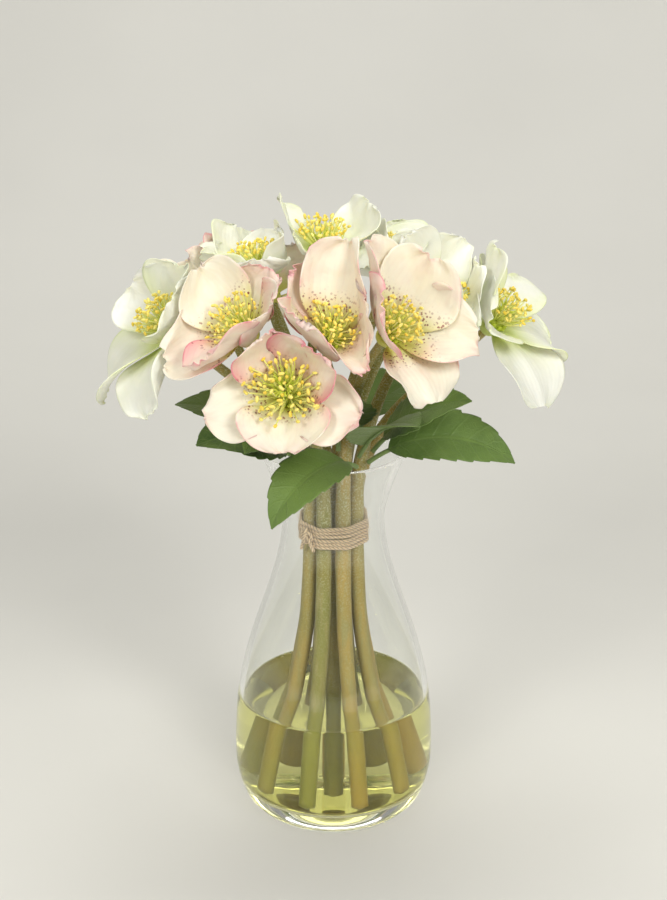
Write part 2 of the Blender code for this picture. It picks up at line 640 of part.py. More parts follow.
def make_stem(number, place, bloom, fork, finish):
    """One stem: from the vase's floor up to the tie, through it, then out to the back of its bloom, with a
    branch to a second bloom where it forks."""
    name = f"stem_{number:02d}"
    x, y = place
    below = stem_below(x, y)
    over = Vector((x, y, TIE_HEIGHT + TIE_RUN))
    leave = over + Vector((0, 0, NECK_RISE))
    top, arrive = head_end(bloom)
    shares = [i / STEM_RINGS for i in range(STEM_RINGS + 1)]
    points = below + [bend(over, leave, arrive, top, t) for t in shares]
    radii = [STEM_RADIUS] * len(below) + [STEM_RADIUS + (STEM_TOP_RADIUS - STEM_RADIUS) * t for t in shares]
    stem = mesh_object(name, tube(name, points, radii, STEM_SIDES), finish)
    if fork:
        start = bend(over, leave, arrive, top, FORK_AT)
        ahead = (bend(over, leave, arrive, top, FORK_AT + 0.05) - start).normalized()
        top, arrive = head_end(fork)
        leave = start + ahead * 0.4 * (top - start).length
        points = [bend(start, leave, arrive, top, t) for t in shares]
        radii = [BRANCH_RADIUS + (STEM_TOP_RADIUS - BRANCH_RADIUS) * t for t in shares]
        branches = group("branches")
        mesh_object("branch", tube("branch", points, radii, STEM_SIDES), None, branches)
        apply_boolean(stem, branches, "UNION")
    return stem


def leaf_line(leaf, u):
    """(points, headings, sides, normals) along a leaf's midrib at u: its slope and heading change evenly."""
    slope = np.radians(leaf["rise"][0] + (leaf["rise"][1] - leaf["rise"][0]) * u)
    way = np.radians(leaf["way"] + leaf["bend"] * u)
    ahead = np.stack([np.cos(slope) * np.cos(way), np.cos(slope) * np.sin(way), np.sin(slope)], axis=-1)
    step = np.diff(u, prepend=0.0)[:, None] * leaf["length"] * MM
    middle = ahead.copy()
    middle[1:] = 0.5 * (ahead[1:] + ahead[:-1])
    points = np.array(leaf["foot"]) * MM + np.cumsum(middle * step, axis=0)
    side = np.stack([-np.sin(way), np.cos(way), np.zeros_like(way)], axis=-1)
    normal = np.cross(ahead, side)
    roll = math.radians(leaf["roll"])
    return points, side * math.cos(roll) + normal * math.sin(roll), normal * math.cos(roll) - side * math.sin(roll)


def leaf_outline(u):
    """A leaf blade's half width as a share of its widest: a lance shape, widest before the middle."""
    return np.clip(np.sin(np.pi * np.clip(u, 0.0, 1.0) ** 0.8), 0.0, 1.0) ** 0.85


def make_leaf(name, finish):
    """One leaf: a blade with saw teeth, folded a little along its midrib, fused to its stalk."""
    leaf = LEAVES[name]
    count = 2 * LEAF_TEETH + 3
    stalk = 0.16
    along_blade = np.linspace(0.0, 1.0, count)
    u = stalk + (1.0 - stalk) * along_blade
    points, side, normal = leaf_line(leaf, u)
    tooth = np.where(np.arange(count) % 2 == 1, 1.0, 1.0 - TOOTH_DEPTH)
    half = 0.5 * leaf["width"] * MM * np.maximum(leaf_outline(along_blade) * tooth, 0.05)
    rows = []
    for share in (-1.0, 0.0, 1.0):
        lift = 0.16 * half * abs(share)
        rows.append(points + side * (half * share)[:, None] + normal * lift[:, None])
    obj = mesh_object(f"leaf_{name}", grid_mesh("leaf", np.stack(rows, axis=1)), finish)
    split = obj.modifiers.new("split", "TRIANGULATE")
    split.quad_method = "FIXED"
    solid = obj.modifiers.new("solid", "SOLIDIFY")
    solid.thickness = LEAF_THICKNESS
    solid.offset = 0.0
    stalks = group("stalks")
    path, _, _ = leaf_line(leaf, np.linspace(0.0, stalk + 0.12, 4))
    mesh = tube("stalk", [Vector(at) for at in path], [PETIOLE_RADIUS] * 4, 6)
    mesh_object("stalk", mesh, None, stalks)
    apply_boolean(obj, stalks, "UNION")
    return obj


def main():
    clear_scene()
    finishes = {
        "cream": material("sepal_cream", CREAM, 0.6),
        "white": material("sepal_white", WHITE, 0.6),
        "stamens": material("stamens", YELLOW, 0.6),
        "leaf": material("leaf", LEAF_GREEN, 0.5),
        "stem": material("stem", STEM_GREEN, 0.7),
        "twine": material("twine", TWINE_TAN, 0.9),
        "glass": material("glass", GLASS, 0.02),
        "water": material("water", WATER, 0.02),
    }
    make_vase(finishes["glass"])
    make_water(finishes["water"])
    make_twine(finishes["twine"])
    for number, (place, (_, _, bloom, fork)) in enumerate(zip(stem_places(), STEMS), 1):
        make_stem(number, place, bloom, fork, finishes["stem"])
    for name, bloom in BLOOMS.items():
        make_sepals(name, finishes[bloom["colour"]])
        make_stamens(name, finishes["stamens"])
    for name in LEAVES:
        make_leaf(name, finishes["leaf"])


main()
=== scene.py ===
"""A posy of hellebores tied with twine, standing in water in a clear glass vase, in full detail.

Every piece is worked out in the vase's frame: metres, +Z up, the origin in the middle of the vase's foot
and the posy's front facing -Y.
"""

import math
import random

import bpy
import numpy as np
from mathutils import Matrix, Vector


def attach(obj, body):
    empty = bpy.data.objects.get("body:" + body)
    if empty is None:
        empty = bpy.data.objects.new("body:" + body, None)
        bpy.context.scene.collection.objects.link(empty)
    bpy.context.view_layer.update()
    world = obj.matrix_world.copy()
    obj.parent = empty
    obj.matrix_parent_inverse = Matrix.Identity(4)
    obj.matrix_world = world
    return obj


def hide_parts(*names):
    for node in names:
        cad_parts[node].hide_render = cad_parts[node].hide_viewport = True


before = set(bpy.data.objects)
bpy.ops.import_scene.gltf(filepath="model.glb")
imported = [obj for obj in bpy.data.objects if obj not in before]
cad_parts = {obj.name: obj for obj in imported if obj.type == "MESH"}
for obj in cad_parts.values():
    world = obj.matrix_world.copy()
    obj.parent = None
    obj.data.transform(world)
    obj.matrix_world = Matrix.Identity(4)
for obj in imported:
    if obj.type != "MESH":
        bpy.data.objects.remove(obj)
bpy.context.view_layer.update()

bl_info = {
    "name": "Hellebore posy",
    "version": (1, 0, 0),
    "blender": (4, 5, 0),
    "location": "View3D > Sidebar > Posy",
    "description": "Makes a posy of hellebores in a glass vase with water, piece by piece",
    "category": "Add Mesh",
}

MM = 0.001
CM = 10 * MM
UP = np.array([0.0, 0.0, 1.0])
GOLDEN_ANGLE = math.radians(137.508)
SEED = 7

# The vase and its water. The wall thins to the lip over LIP_RUN. The water reaches about WATER_SINK into the
# glass and creeps up it by WATER_CREEP.
VASE_HEIGHT = 178.6 * MM
FOOT_RADIUS = 30.0 * MM
BELLY_RADIUS = 45.0 * MM
BELLY_HEIGHT = 27.0 * MM
NECK_RADIUS = 22.6 * MM
NECK_HEIGHT = 145.4 * MM
RIM_RADIUS = 33.3 * MM
SHOULDER_FULLNESS = 1.3
FLARE_POWER = 1.3
WALL = 2.4 * MM
LIP_WALL = 1.7 * MM
LIP_RUN = 15.0 * MM
FLOOR_HEIGHT = 12.0 * MM
FLOOR_RADIUS = 33.0 * MM
WATER_SINK = 0.1 * MM
WATER_CREEP = 1.1 * MM
# How often light may turn in the glass and the water, and glance off them, before it is let straight through.
MOST_TURNS = 6.5
MOST_GLINTS = 2.5

# The bunch of stems and its tie. STEM_SLACK leaves the rippled stems room inside the twine.
STEM_RADIUS = 3.45 * MM
STEM_TOP_RADIUS = 1.8 * MM
STEM_SLACK = 0.985
BRANCH_RADIUS = 2.4 * MM
MIDDLE_RADIUS = 3.64 * MM
RING_RADIUS = 10.5 * MM
RING_STEMS = 8
STEM_FOOT = 13.3 * MM
TIE_HEIGHT = 140.0 * MM
TIE_RUN = 8.0 * MM
# The bunch below the tie: heights, and the bunch's width there as a multiple of its width at the tie.
BUNCH_SPREAD = ((STEM_FOOT, 2.62), (64.0 * MM, 1.72), (92.0 * MM, 1.2), (TIE_HEIGHT - TIE_RUN, 1.0))
NECK_RISE = 42.0 * MM
HEAD_RUN = 26.0 * MM
FORK_AT = 0.34
TWINE_TURNS = 6
TWINE_DIAMETER = 1.85 * MM
TWINE_PITCH = 5.5 * MM
TWINE_CLEARANCE = 0.45 * MM
FIBRES = 190
KNOT_ANGLE = math.radians(226)

# A sepal: u runs from 0 at the claw to 1 at the tip, and v from -1 to 1 across. SEPAL_CUP lifts both edges,
# and SEPAL_LEAP takes one over or under the next sepal. Where a sepal would pass a wall by SEPAL_PRESS it
# closes up, by MOST_CLOSED degrees or a little more.
CLAW_RADIUS = 3.3 * MM
CLAW_WIDTH = 0.09
WIDEST_AT = 0.56
TIP_BLUNTNESS = 0.46
SEPAL_LEAP = 0.17
SEPAL_CUP = 0.30
SEPAL_PRESS = 8.0 * MM
EVEN_RUFFLE = 0.14
MOST_CLOSED = 12

# The walls between a bloom and its neighbours, which its sepals bend along: the space left at a wall, how
# softly they bend, how near a neighbour has to be, and how far before its receptacle a bloom's middle lies.
WALL_MARGIN = 0.75 * MM
WALL_SOFTNESS = 3.0 * MM
WALL_REACH = 82.0 * MM
WALL_PASSES = 2
HEAD_DEPTH = 11.0 * MM

# A bloom's receptacle, and the boss that stands GAP above it. STAMEN_MARGIN keeps anthers off the walls.
RECEPTACLE_RADIUS = 4.6 * MM
RECEPTACLE_DEPTH = 4.2 * MM
RECEPTACLE_TOP = 0.9 * MM
GAP = 0.3 * MM
BOSS_RADIUS = 4.0 * MM
BOSS_HEIGHT = 5.0 * MM
STAMEN_MARGIN = 4.5 * MM
# A bloom's middle: how many stamens, styles and nectaries it has, the stamens' length, widest lean in degrees
# and stoutness, the size of their anthers, and the styles' length.
FRONT_MIDDLE = dict(stamens=88, reach=18.6 * MM, lean=58, stout=1.15, anther=1.12, styles=24,
                    style=14.0 * MM, nectaries=14)
OTHER_MIDDLE = dict(stamens=66, reach=14.2 * MM, lean=50, stout=0.85, anther=1.0, styles=9,
                    style=10.0 * MM, nectaries=11)

# A leaf: the stalk's share of its length, where its midrib ends, its side veins, each with a tooth, how far
# back a vein starts from its tooth, and how deep the teeth are, as shares of the blade.
LEAF_STALK = 0.16
RIB_END = 0.97
SIDE_VEINS = 7.5
VEIN_SLANT = 0.13
TOOTH_DEPTH = 0.0975

# The colours that the panel doesn't show, as shares of red, green and blue.
CREAM_THROAT = (0.74, 0.72, 0.18)
WHITE_THROAT = (0.64, 0.74, 0.24)
WHITE_FLUSH = (0.80, 0.86, 0.50)
SPECKLE = (0.20, 0.008, 0.035)
LEAF_DARK = (0.046, 0.105, 0.019)
LEAF_MIDDLE = (0.110, 0.195, 0.036)
LEAF_VEIN = (0.20, 0.31, 0.08)
LEAF_NET = (0.15, 0.25, 0.06)
LEAF_YOUNG = (0.150, 0.240, 0.050)
LEAF_BACK = (0.18, 0.26, 0.080)
STEM_GREEN = (0.250, 0.245, 0.050)
STEM_OCHRE = (0.450, 0.320, 0.080)
STEM_STREAK = (0.340, 0.300, 0.095)
STEM_DOWN = (0.560, 0.550, 0.360)
# The next two colours are painted shade: the stems' tone below the water line, darkened and tinted for the
# water round them.
UNDERWATER_SHADE_GREEN = (0.230, 0.235, 0.022)
UNDERWATER_SHADE_OCHRE = (0.380, 0.255, 0.028)
POLLEN = (0.92, 0.84, 0.36)
TWINE_TAN = (0.66, 0.46, 0.26)
TWINE_STRAW = (0.95, 0.78, 0.52)
TWINE_WORN = (0.86, 0.66, 0.41)
# The next colour is painted shade, for the grooves between the twine's strands.
TWINE_GROOVE_SHADE = (0.24, 0.155, 0.085)
GLASS_CAST = (0.975, 0.985, 0.975)
AIR_COLOUR = (1.0, 0.985, 0.95)
# Two tones each for the foot, the thread and the anther of a stamen.
STAMEN_COLOURS = (((0.58, 0.69, 0.06), (0.76, 0.80, 0.14)), ((0.80, 0.84, 0.22), (0.92, 0.90, 0.40)),
                  ((0.90, 0.65, 0.06), (0.96, 0.84, 0.24)))

# The stage, in metres. The floor runs back from FLOOR_FRONT, bends up from SWEEP_FROM and ends at
# BACKDROP_TOP, and it lies a hair below the vase. A lamp has its name, place, width, share of the set power
# and colour.
FLOOR_FRONT = -2.4
FLOOR_HALF_WIDTH = 3.0
FLOOR_DROP = 0.2 * MM
SWEEP_FROM = 0.52
SWEEP_RADIUS = 0.7
BACKDROP_TOP = 3.2
LAMPS = (("stage_left", (-0.74, -1.10, 1.08), 0.50, 0.85, (1.0, 0.98, 0.94)),
         ("stage_right", (0.66, -1.14, 1.10), 0.50, 1.30, (1.0, 0.98, 0.94)),
         ("stage_top", (0.0, 0.48, 1.9), 1.2, 1.25, (1.0, 0.99, 0.96)))
LAMP_AIM = (0.0, 0.0, 0.16)
AIR_STRENGTH = 0.27
CAMERA_PLACE = (0.0, -0.9684, 0.5864)
CAMERA_AIM = (0.0, 0.0, 0.1753)
CAMERA_LENS = 96.0
CAMERA_SENSOR = 36.0

# The blooms. place is the top of the receptacle in millimetres. faces is the way the bloom looks: degrees
# round the vase (0 is +X, -90 the front) and degrees above level. cup is the sepals' slope above the
# bloom's flat, in degrees, at the claw and at the tip. length and width are a sepal's, in millimetres. grip
# says how much of the space between it and its neighbours a bloom takes, and ruffle how much its edges
# wave. Each sepal has its turn about the bloom's axis in degrees, its length and width as shares of the
# bloom's, and the degrees by which it is closed up more than the cup. spin turns a ring of five even
# sepals.
BLOOMS = {
    "front": dict(place=(-18, -55, 222), faces=(-101, 40), length=33, width=34.5, cup=(44, -12),
                  grip=1.25, ruffle=0.085, colour="cream",
                  sepals=((112, 1.0, 1.05, 8), (48, 0.96, 1.05, 10), (-16, 0.98, 1.02, 0),
                          (-84, 0.74, 1.1, 0), (-160, 1.04, 1.0, -2))),
    "centre": dict(place=(-2, -41, 241), faces=(-80, 50), length=34, width=34, cup=(40, -6),
                   grip=1.0, ruffle=0.12, colour="cream",
                   sepals=((70, 1.20, 1.1, 10), (130, 0.95, 1.0, 8), (2, 0.95, 1.0, 0),
                           (-62, 0.84, 1.0, 2), (-150, 1.06, 1.1, 0))),
    "right": dict(place=(22, -37, 242), faces=(-50, 47), length=35, width=37, cup=(40, -6),
                  grip=1.0, ruffle=0.10, colour="cream",
                  sepals=((100, 1.10, 1.05, 8), (36, 1.0, 1.05, 2), (-28, 1.05, 1.1, -6),
                          (-92, 1.0, 1.05, -4), (174, 0.98, 1.05, 2))),
    "left": dict(place=(-35, -37, 243), faces=(-134, 46), length=33, width=34, cup=(40, -4),
                 grip=1.0, ruffle=0.10, colour="cream",
                 sepals=((84, 0.80, 0.98, 6), (14, 0.86, 1.0, 4), (-58, 1.06, 1.1, 0),
                         (-126, 1.10, 1.05, -10), (156, 0.98, 1.0, 2))),
    "far_left": dict(place=(-67, -11, 234), faces=(-160, 47), length=34, width=38, cup=(36, -18),
                     grip=1.05, ruffle=0.05, colour="white",
                     sepals=((96, 0.80, 1.0, 4), (28, 0.92, 1.0, 6), (-44, 1.24, 1.10, -14),
                             (-112, 1.24, 1.10, -14), (168, 0.90, 1.0, -2))),
    "left_back": dict(place=(-53, 13, 243), faces=(165, 62), length=28, width=30, cup=(32, -20), spin=20,
                      grip=0.9, ruffle=0.08, colour="cream"),
    "crown_left": dict(place=(-30, -1, 254), faces=(140, 74), length=29, width=33, cup=(38, -10), spin=40,
                       grip=1.15, ruffle=0.08, colour="white"),
    "crown": dict(place=(-5, 6, 262), faces=(-90, 84), length=28, width=32, cup=(24, -30), spin=18,
                  grip=1.12, ruffle=0.06, colour="white"),
    "crown_right": dict(place=(23, 16, 251), faces=(40, 70), length=29, width=32, cup=(34, -18), spin=60,
                        grip=1.0, ruffle=0.06, colour="white"),
    "upper_right": dict(place=(41, -7, 244), faces=(-30, 58), length=31, width=32, cup=(38, -12), spin=30,
                        grip=1.0, ruffle=0.07, colour="white"),
    "far_right": dict(place=(67, -2, 234), faces=(-24, 50), length=34, width=38, cup=(36, -18),
                      grip=1.05, ruffle=0.05, colour="white",
                      sepals=((96, 0.92, 1.0, 2), (26, 0.92, 1.0, 2), (-44, 1.0, 1.0, -8),
                              (-108, 1.20, 1.1, -12), (168, 0.80, 1.0, -6))),
    "back_left": dict(place=(-28, 44, 231), faces=(118, 44), length=33, width=37, cup=(34, -20), spin=30,
                      grip=1.05, ruffle=0.06, colour="cream"),
    "back_right": dict(place=(33, 45, 230), faces=(58, 44), length=33, width=37, cup=(34, -20), spin=75,
                       grip=1.05, ruffle=0.06, colour="white"),
}

# The stems: whether each stands in the ring or the middle of the bunch, at what angle in degrees, the bloom
# that it carries, and any that grows from its fork.
STEMS = (
    ("ring", 22.5, "far_right", None), ("ring", 67.5, "back_right", None), ("ring", 112.5, "back_left", None),
    ("ring", 157.5, "far_left", "left_back"), ("ring", 202.5, "left", None), ("ring", 247.5, "front", None),
    ("ring", 292.5, "right", "centre"), ("ring", 337.5, "upper_right", None),
    ("middle", 90.0, "crown_right", None), ("middle", 270.0, "crown_left", "crown"),
)

# The leaves. foot is where the leaf stalk meets the bunch, in millimetres, as length and width are. way is
# the leaf's heading round the vase in degrees. rise is its slope at the stalk and at the tip, in degrees.
# bend turns the heading towards the tip, and roll tilts the blade about its own midrib.
LEAVES = {
    "front_low": dict(foot=(10, -18, 175), way=-123, length=62, width=29, rise=(41, -69), bend=-26, roll=-12),
    "front_high": dict(foot=(-14, -15, 185), way=-125, length=42, width=26, rise=(61, -40), bend=-10,
                       roll=-20),
    "left_low": dict(foot=(-15, -11, 175), way=-152, length=56, width=34, rise=(48, -8), bend=8, roll=-22),
    "left_high": dict(foot=(-21, 0, 173), way=176, length=56, width=32, rise=(56, -8), bend=-4, roll=-7),
    "right_low": dict(foot=(15, -11, 174), way=-6, length=70, width=30, rise=(44, -42), bend=6, roll=30),
    "right_high": dict(foot=(17, -8, 178), way=-22, length=56, width=28, rise=(60, 8), bend=0, roll=25),
    "front_right": dict(foot=(11, -16, 179), way=-55, length=50, width=34, rise=(64, 4), bend=6, roll=0),
    "front_centre": dict(foot=(2, -18, 183), way=-91, length=42, width=34, rise=(78, 29), bend=0, roll=-1),
    "back_right": dict(foot=(11, 17, 175), way=55, length=60, width=28, rise=(47, -28), bend=-14, roll=10),
    "back_left": dict(foot=(-11, 16, 175), way=126, length=58, width=27, rise=(46, -26), bend=14, roll=-8),
}


def ring_angles(count):
    """Angles evenly round a circle."""
    return np.arange(count) * (2.0 * np.pi / count)


def unit(vectors):
    """Vectors along the last axis, each scaled to length one."""
    return vectors / np.maximum(np.linalg.norm(vectors, axis=-1, keepdims=True), 1e-12)


def smooth_noise(points, scale, seed):
    """A soft field between about -1 and 1: five crossed sine waves with seeded directions and phases."""
    draw = np.random.default_rng(seed)
    total = np.zeros(points.shape[:-1])
    for octave in range(5):
        way = unit(draw.normal(size=3)) * (2.0 * np.pi / scale) * (1.0 + 0.45 * octave)
        total = total + np.sin(points @ way + draw.uniform(0.0, 2.0 * np.pi)) / (1.0 + 0.6 * octave)
    return total / 2.2


def grid_quads(rows, columns, wrap_columns=False, start=0, flip=False):
    """Corner numbers of the quads of a grid of points, whose rows close round if asked."""
    r = np.arange(rows - 1)
    c = np.arange(columns if wrap_columns else columns - 1)
    low, left = np.meshgrid(r, c, indexing="ij")
    high, right = low + 1, (left + 1) % columns
    quads = np.stack([low * columns + left, low * columns + right, high * columns + right,
                      high * columns + left], axis=-1).reshape(-1, 4) + start
    return quads[:, ::-1] if flip else quads


def end_fans(steps, sides):
    """Triangles that close a tube of rings at both ends, on two points that come after the rings' own."""
    around = np.arange(sides)
    after = (around + 1) % sides
    last = (steps - 1) * sides
    low = np.stack([after, around, np.full(sides, steps * sides)], axis=-1)
    high = np.stack([last + around, last + after, np.full(sides, steps * sides + 1)], axis=-1)
    return np.concatenate([low, high])


def run_along(path):
    """The distance along a path at each of its points."""
    return np.concatenate([[0.0], np.cumsum(np.linalg.norm(np.diff(path, axis=0), axis=1))])


class Pile:
    """Collects surfaces, each as points, quads, triangles and per-point values, for one mesh."""

    def __init__(self):
        self.points, self.quads, self.triangles, self.values, self.count = [], [], [], {}, 0

    def add(self, points, quads=None, triangles=None, **values):
        """Adds a surface. A value is one number or map pair for all its points, or one for each of them."""
        points = np.asarray(points, float).reshape(-1, 3)
        if quads is not None and len(quads):
            self.quads.append(np.asarray(quads) + self.count)
        if triangles is not None and len(triangles):
            self.triangles.append(np.asarray(triangles) + self.count)
        for name, value in values.items():
            width = np.shape(value)[-1] if name.startswith("map_") else 1
            value = np.broadcast_to(np.asarray(value, float).reshape(-1, width), (len(points), width))
            self.values.setdefault(name, []).append(value)
        self.points.append(points)
        self.count += len(points)

    def mesh(self, name):
        """Makes one new mesh of it all. Values named map_ become UV maps, and the others attributes."""
        points = np.concatenate(self.points)
        quads = np.concatenate(self.quads) if self.quads else np.zeros((0, 4), int)
        triangles = np.concatenate(self.triangles) if self.triangles else np.zeros((0, 3), int)
        corners = np.concatenate([quads.ravel(), triangles.ravel()]).astype(np.int32)
        sizes = np.concatenate([np.full(len(quads), 4), np.full(len(triangles), 3)])
        starts = np.concatenate([[0], np.cumsum(sizes)[:-1]]).astype(np.int32)
        mesh = bpy.data.meshes.new(name)
        mesh.vertices.add(len(points))
        mesh.vertices.foreach_set("co", points.astype(np.float32).ravel())
        mesh.loops.add(len(corners))
        mesh.loops.foreach_set("vertex_index", corners)
        mesh.polygons.add(len(sizes))
        mesh.polygons.foreach_set("loop_start", starts)
        mesh.update(calc_edges=True)
        for key, chunks in self.values.items():
            value = np.concatenate(chunks)
            if key.startswith("map_"):
                layer = mesh.uv_layers.new(name=key[4:])
                layer.uv.foreach_set("vector", value[corners].astype(np.float32).ravel())
            else:
                layer = mesh.attributes.new(key, "FLOAT", "POINT")
                layer.data.foreach_set("value", value.astype(np.float32).ravel())
        mesh.validate()
        mesh.shade_smooth()
        return mesh


def show(name, pile, finish, node):
    """Makes a pile into a finished piece that stands for a CAD node and has its material slot."""
    old = bpy.data.objects.get(name)
    if old:
        bpy.data.objects.remove(old)
    mesh = pile.mesh(name)
    mesh.materials.append(finish)
    obj = bpy.data.objects.new(name, mesh)
    bpy.context.scene.collection.objects.link(obj)
    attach(obj, "root")
    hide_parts(node)


def sheet_normals(grid):
    """Unit normals of a grid surface, from the cross product of its two runs."""
    return unit(np.cross(np.gradient(grid, axis=1), np.gradient(grid, axis=0)))


def blade(pile, grid, thickness, **values):
    """A thin closed blade: the surface moved out and back along its normals by half its thickness, with the
    two skins joined round the edge by a rim."""
    rows, columns = grid.shape[:2]
    normal = sheet_normals(grid)
    half = 0.5 * np.broadcast_to(thickness, grid.shape[:2])[..., None] * normal
    points = np.concatenate([(grid - half).reshape(-1, 3), (grid + half).reshape(-1, 3)])
    count = rows * columns
    top, bottom = grid_quads(rows, columns), grid_quads(rows, columns, start=count, flip=True)
    index = np.arange(count).reshape(rows, columns)
    edge = np.concatenate([index[0, :-1], index[:-1, -1], index[-1, :0:-1], index[:0:-1, 0]])
    after = np.roll(edge, -1)
    rim = np.stack([edge + count, after + count, after, edge], axis=-1)
    doubled = {}
    for key, value in values.items():
        if key.startswith("map_"):
            value = np.asarray(value, float).reshape(-1, np.shape(value)[-1])
        else:
            value = np.broadcast_to(value, (rows, columns)).reshape(-1)
        doubled[key] = np.concatenate([value, value])
    side = np.concatenate([np.zeros(count), np.ones(count)])
    pile.add(points, np.concatenate([top, bottom, rim]), back=side, **doubled)


def tubes(pile, paths, radii, sides, **values):
    """Closed round tubes, many at once: circles of the given radii carried along each path on frames that
    are square to it, with a point at each end. paths is (tubes, points, 3) and radii (tubes, points). A
    value named map_ is one pair for all of it."""
    count, steps = paths.shape[:2]
    ahead = unit(np.gradient(paths, axis=1))
    chord = unit(paths[:, -1] - paths[:, 0])
    spare = np.where(np.abs(chord[:, 2:3]) < 0.8, [[0.0, 0.0, 1.0]], [[1.0, 0.0, 0.0]])
    first = unit(np.cross(chord, spare))[:, None, :]
    one = unit(first - ahead * np.sum(first * ahead, axis=-1, keepdims=True))
    two = np.cross(ahead, one)
    turn = ring_angles(sides)
    ring = np.cos(turn)[:, None] * one[:, :, None, :] + np.sin(turn)[:, None] * two[:, :, None, :]
    skin = paths[:, :, None, :] + radii[:, :, None, None] * ring
    tips = np.stack([paths[:, 0] - ahead[:, 0] * radii[:, :1] * 0.5,
                     paths[:, -1] + ahead[:, -1] * radii[:, -1:] * 0.5], axis=1)
    shift = (np.arange(count) * (steps * sides + 2))[:, None, None]
    quads = (grid_quads(steps, sides, wrap_columns=True) + shift).reshape(-1, 4)
    triangles = (end_fans(steps, sides) + shift).reshape(-1, 3)
    full = {}
    for key, value in values.items():
        if key.startswith("map_"):
            full[key] = value
        else:
            value = np.broadcast_to(value, (count, steps))
            ends = np.stack([value[:, 0], value[:, -1]], axis=1)
            full[key] = np.concatenate([np.repeat(value, sides, axis=1), ends], axis=1).reshape(-1)
    pile.add(np.concatenate([skin.reshape(count, -1, 3), tips], axis=1), quads, triangles, **full)


def turned(pile, radius, height, sides, **values):
    """A body turned about Z: a closed profile, which begins and ends on the axis, carried round a circle. The
    two points on the axis are closed with triangles."""
    turn = ring_angles(sides)
    ring = np.stack([np.cos(turn), np.sin(turn)], axis=-1)
    flat = radius[1:-1, None, None] * ring[None]
    level = np.broadcast_to(height[1:-1, None, None], flat.shape[:2] + (1,))
    body = np.concatenate([flat, level], axis=-1).reshape(-1, 3)
    ends = np.array([[0.0, 0.0, height[0]], [0.0, 0.0, height[-1]]])
    steps = len(radius) - 2
    pile.add(np.concatenate([body, ends]), grid_quads(steps, sides, wrap_columns=True),
             end_fans(steps, sides), **values)


# Shader building blocks and finishes.


class Nodes:
    """A short way to write a node tree: each call adds a node, sets its inputs and returns its output."""

    def __init__(self, tree):
        self.tree = tree

    def feed(self, node, inputs):
        """Sets the given inputs of a node, each to a value or to the output of another node."""
        for key, value in inputs.items():
            socket = node.inputs[key]
            if isinstance(value, bpy.types.NodeSocket):
                self.tree.links.new(value, socket)
            else:
                socket.default_value = value

    def put(self, kind, output=0, inputs=None, **settings):
        node = self.tree.nodes.new(kind)
        for key, value in settings.items():
            setattr(node, key, value)
        self.feed(node, inputs or {})
        return node.outputs[output]

    def maths(self, operation, first, second=0.0, third=0.0, clamp=False):
        return self.put("ShaderNodeMath", 0, {0: first, 1: second, 2: third}, operation=operation,
                        use_clamp=clamp)

    def times(self, first, second, clamp=False):
        return self.maths("MULTIPLY", first, second, clamp=clamp)

    def times_add(self, first, second, added):
        return self.maths("MULTIPLY_ADD", first, second, added)

    def less(self, first, second):
        return self.maths("SUBTRACT", first, second)

    def larger(self, first, second):
        return self.maths("MAXIMUM", first, second)

    def fade(self, value, low, high, out_low=0.0, out_high=1.0):
        """Smoothly from out_low where value is low to out_high where it is high."""
        return self.put("ShaderNodeMapRange", 0, {0: value, 1: low, 2: high, 3: out_low, 4: out_high},
                        interpolation_type="SMOOTHSTEP")

    def mix(self, share, first, second):
        return self.put("ShaderNodeMix", 2, {0: share, 6: first, 7: second}, data_type="RGBA")

    def noise(self, vector, scale, detail=3.0, roughness=0.55):
        return self.put("ShaderNodeTexNoise", 0, {"Vector": vector, "Scale": scale, "Detail": detail,
                                                  "Roughness": roughness})

    def cells(self, vector, scale, **settings):
        """The distance to the nearest of scattered points, or to what the feature setting names."""
        return self.put("ShaderNodeTexVoronoi", 0, {"Vector": vector, "Scale": scale}, **settings)

    def stretch(self, vector, scale):
        return self.put("ShaderNodeMapping", 0, {"Vector": vector, "Scale": scale})

    def attribute(self, name):
        return self.put("ShaderNodeAttribute", 2, attribute_name=name)

    def place(self):
        return self.put("ShaderNodeTexCoord", 3)

    def span(self, name):
        return self.put("ShaderNodeUVMap", 0, uv_map=name)

    def split(self, vector, axis):
        return self.put("ShaderNodeSeparateXYZ", axis, {0: vector})

    def across_along(self):
        """The two parts of a blade's own map, from 0 to 1: across it, and along it from its claw or stalk."""
        blade_map = self.span("Blade")
        return self.split(blade_map, 0), self.split(blade_map, 1)

    def off_middle(self, across):
        """0 on a blade's middle line and 1 at either edge."""
        return self.maths("ABSOLUTE", self.times_add(across, 2.0, -1.0))


def group_tree(name, inputs, outputs):
    """A shader group with named sockets, as (tree, Nodes, its inputs by name, its output node). Only the
    tree is given when the group has been made before."""
    tree = bpy.data.node_groups.get(name)
    if tree:
        return tree, None, None, None
    tree = bpy.data.node_groups.new(name, "ShaderNodeTree")
    for label, default in inputs:
        socket = tree.interface.new_socket(label, in_out="INPUT", socket_type="NodeSocketFloat")
        socket.default_value = default
    for label in outputs:
        tree.interface.new_socket(label, in_out="OUTPUT", socket_type="NodeSocketFloat")
    entry = tree.nodes.new("NodeGroupInput")
    leaving = tree.nodes.new("NodeGroupOutput")
    return tree, Nodes(tree), {socket.name: socket for socket in entry.outputs}, leaving


def dapple_group():
    """Two sizes of soft mottling over the surface, as a mask and a height."""
    tree, nodes, given, leaving = group_tree("Dapple", [("Coarse", 60.0), ("Fine", 600.0)],
                                             ["Mask", "Height"])
    if nodes:
        place = nodes.place()
        coarse = nodes.noise(place, given["Coarse"], 3.0)
        fine = nodes.noise(place, given["Fine"], 2.0)
        nodes.feed(leaving, {"Mask": nodes.fade(coarse, 0.35, 0.65),
                             "Height": nodes.times_add(fine, 0.5, coarse)})
    return tree


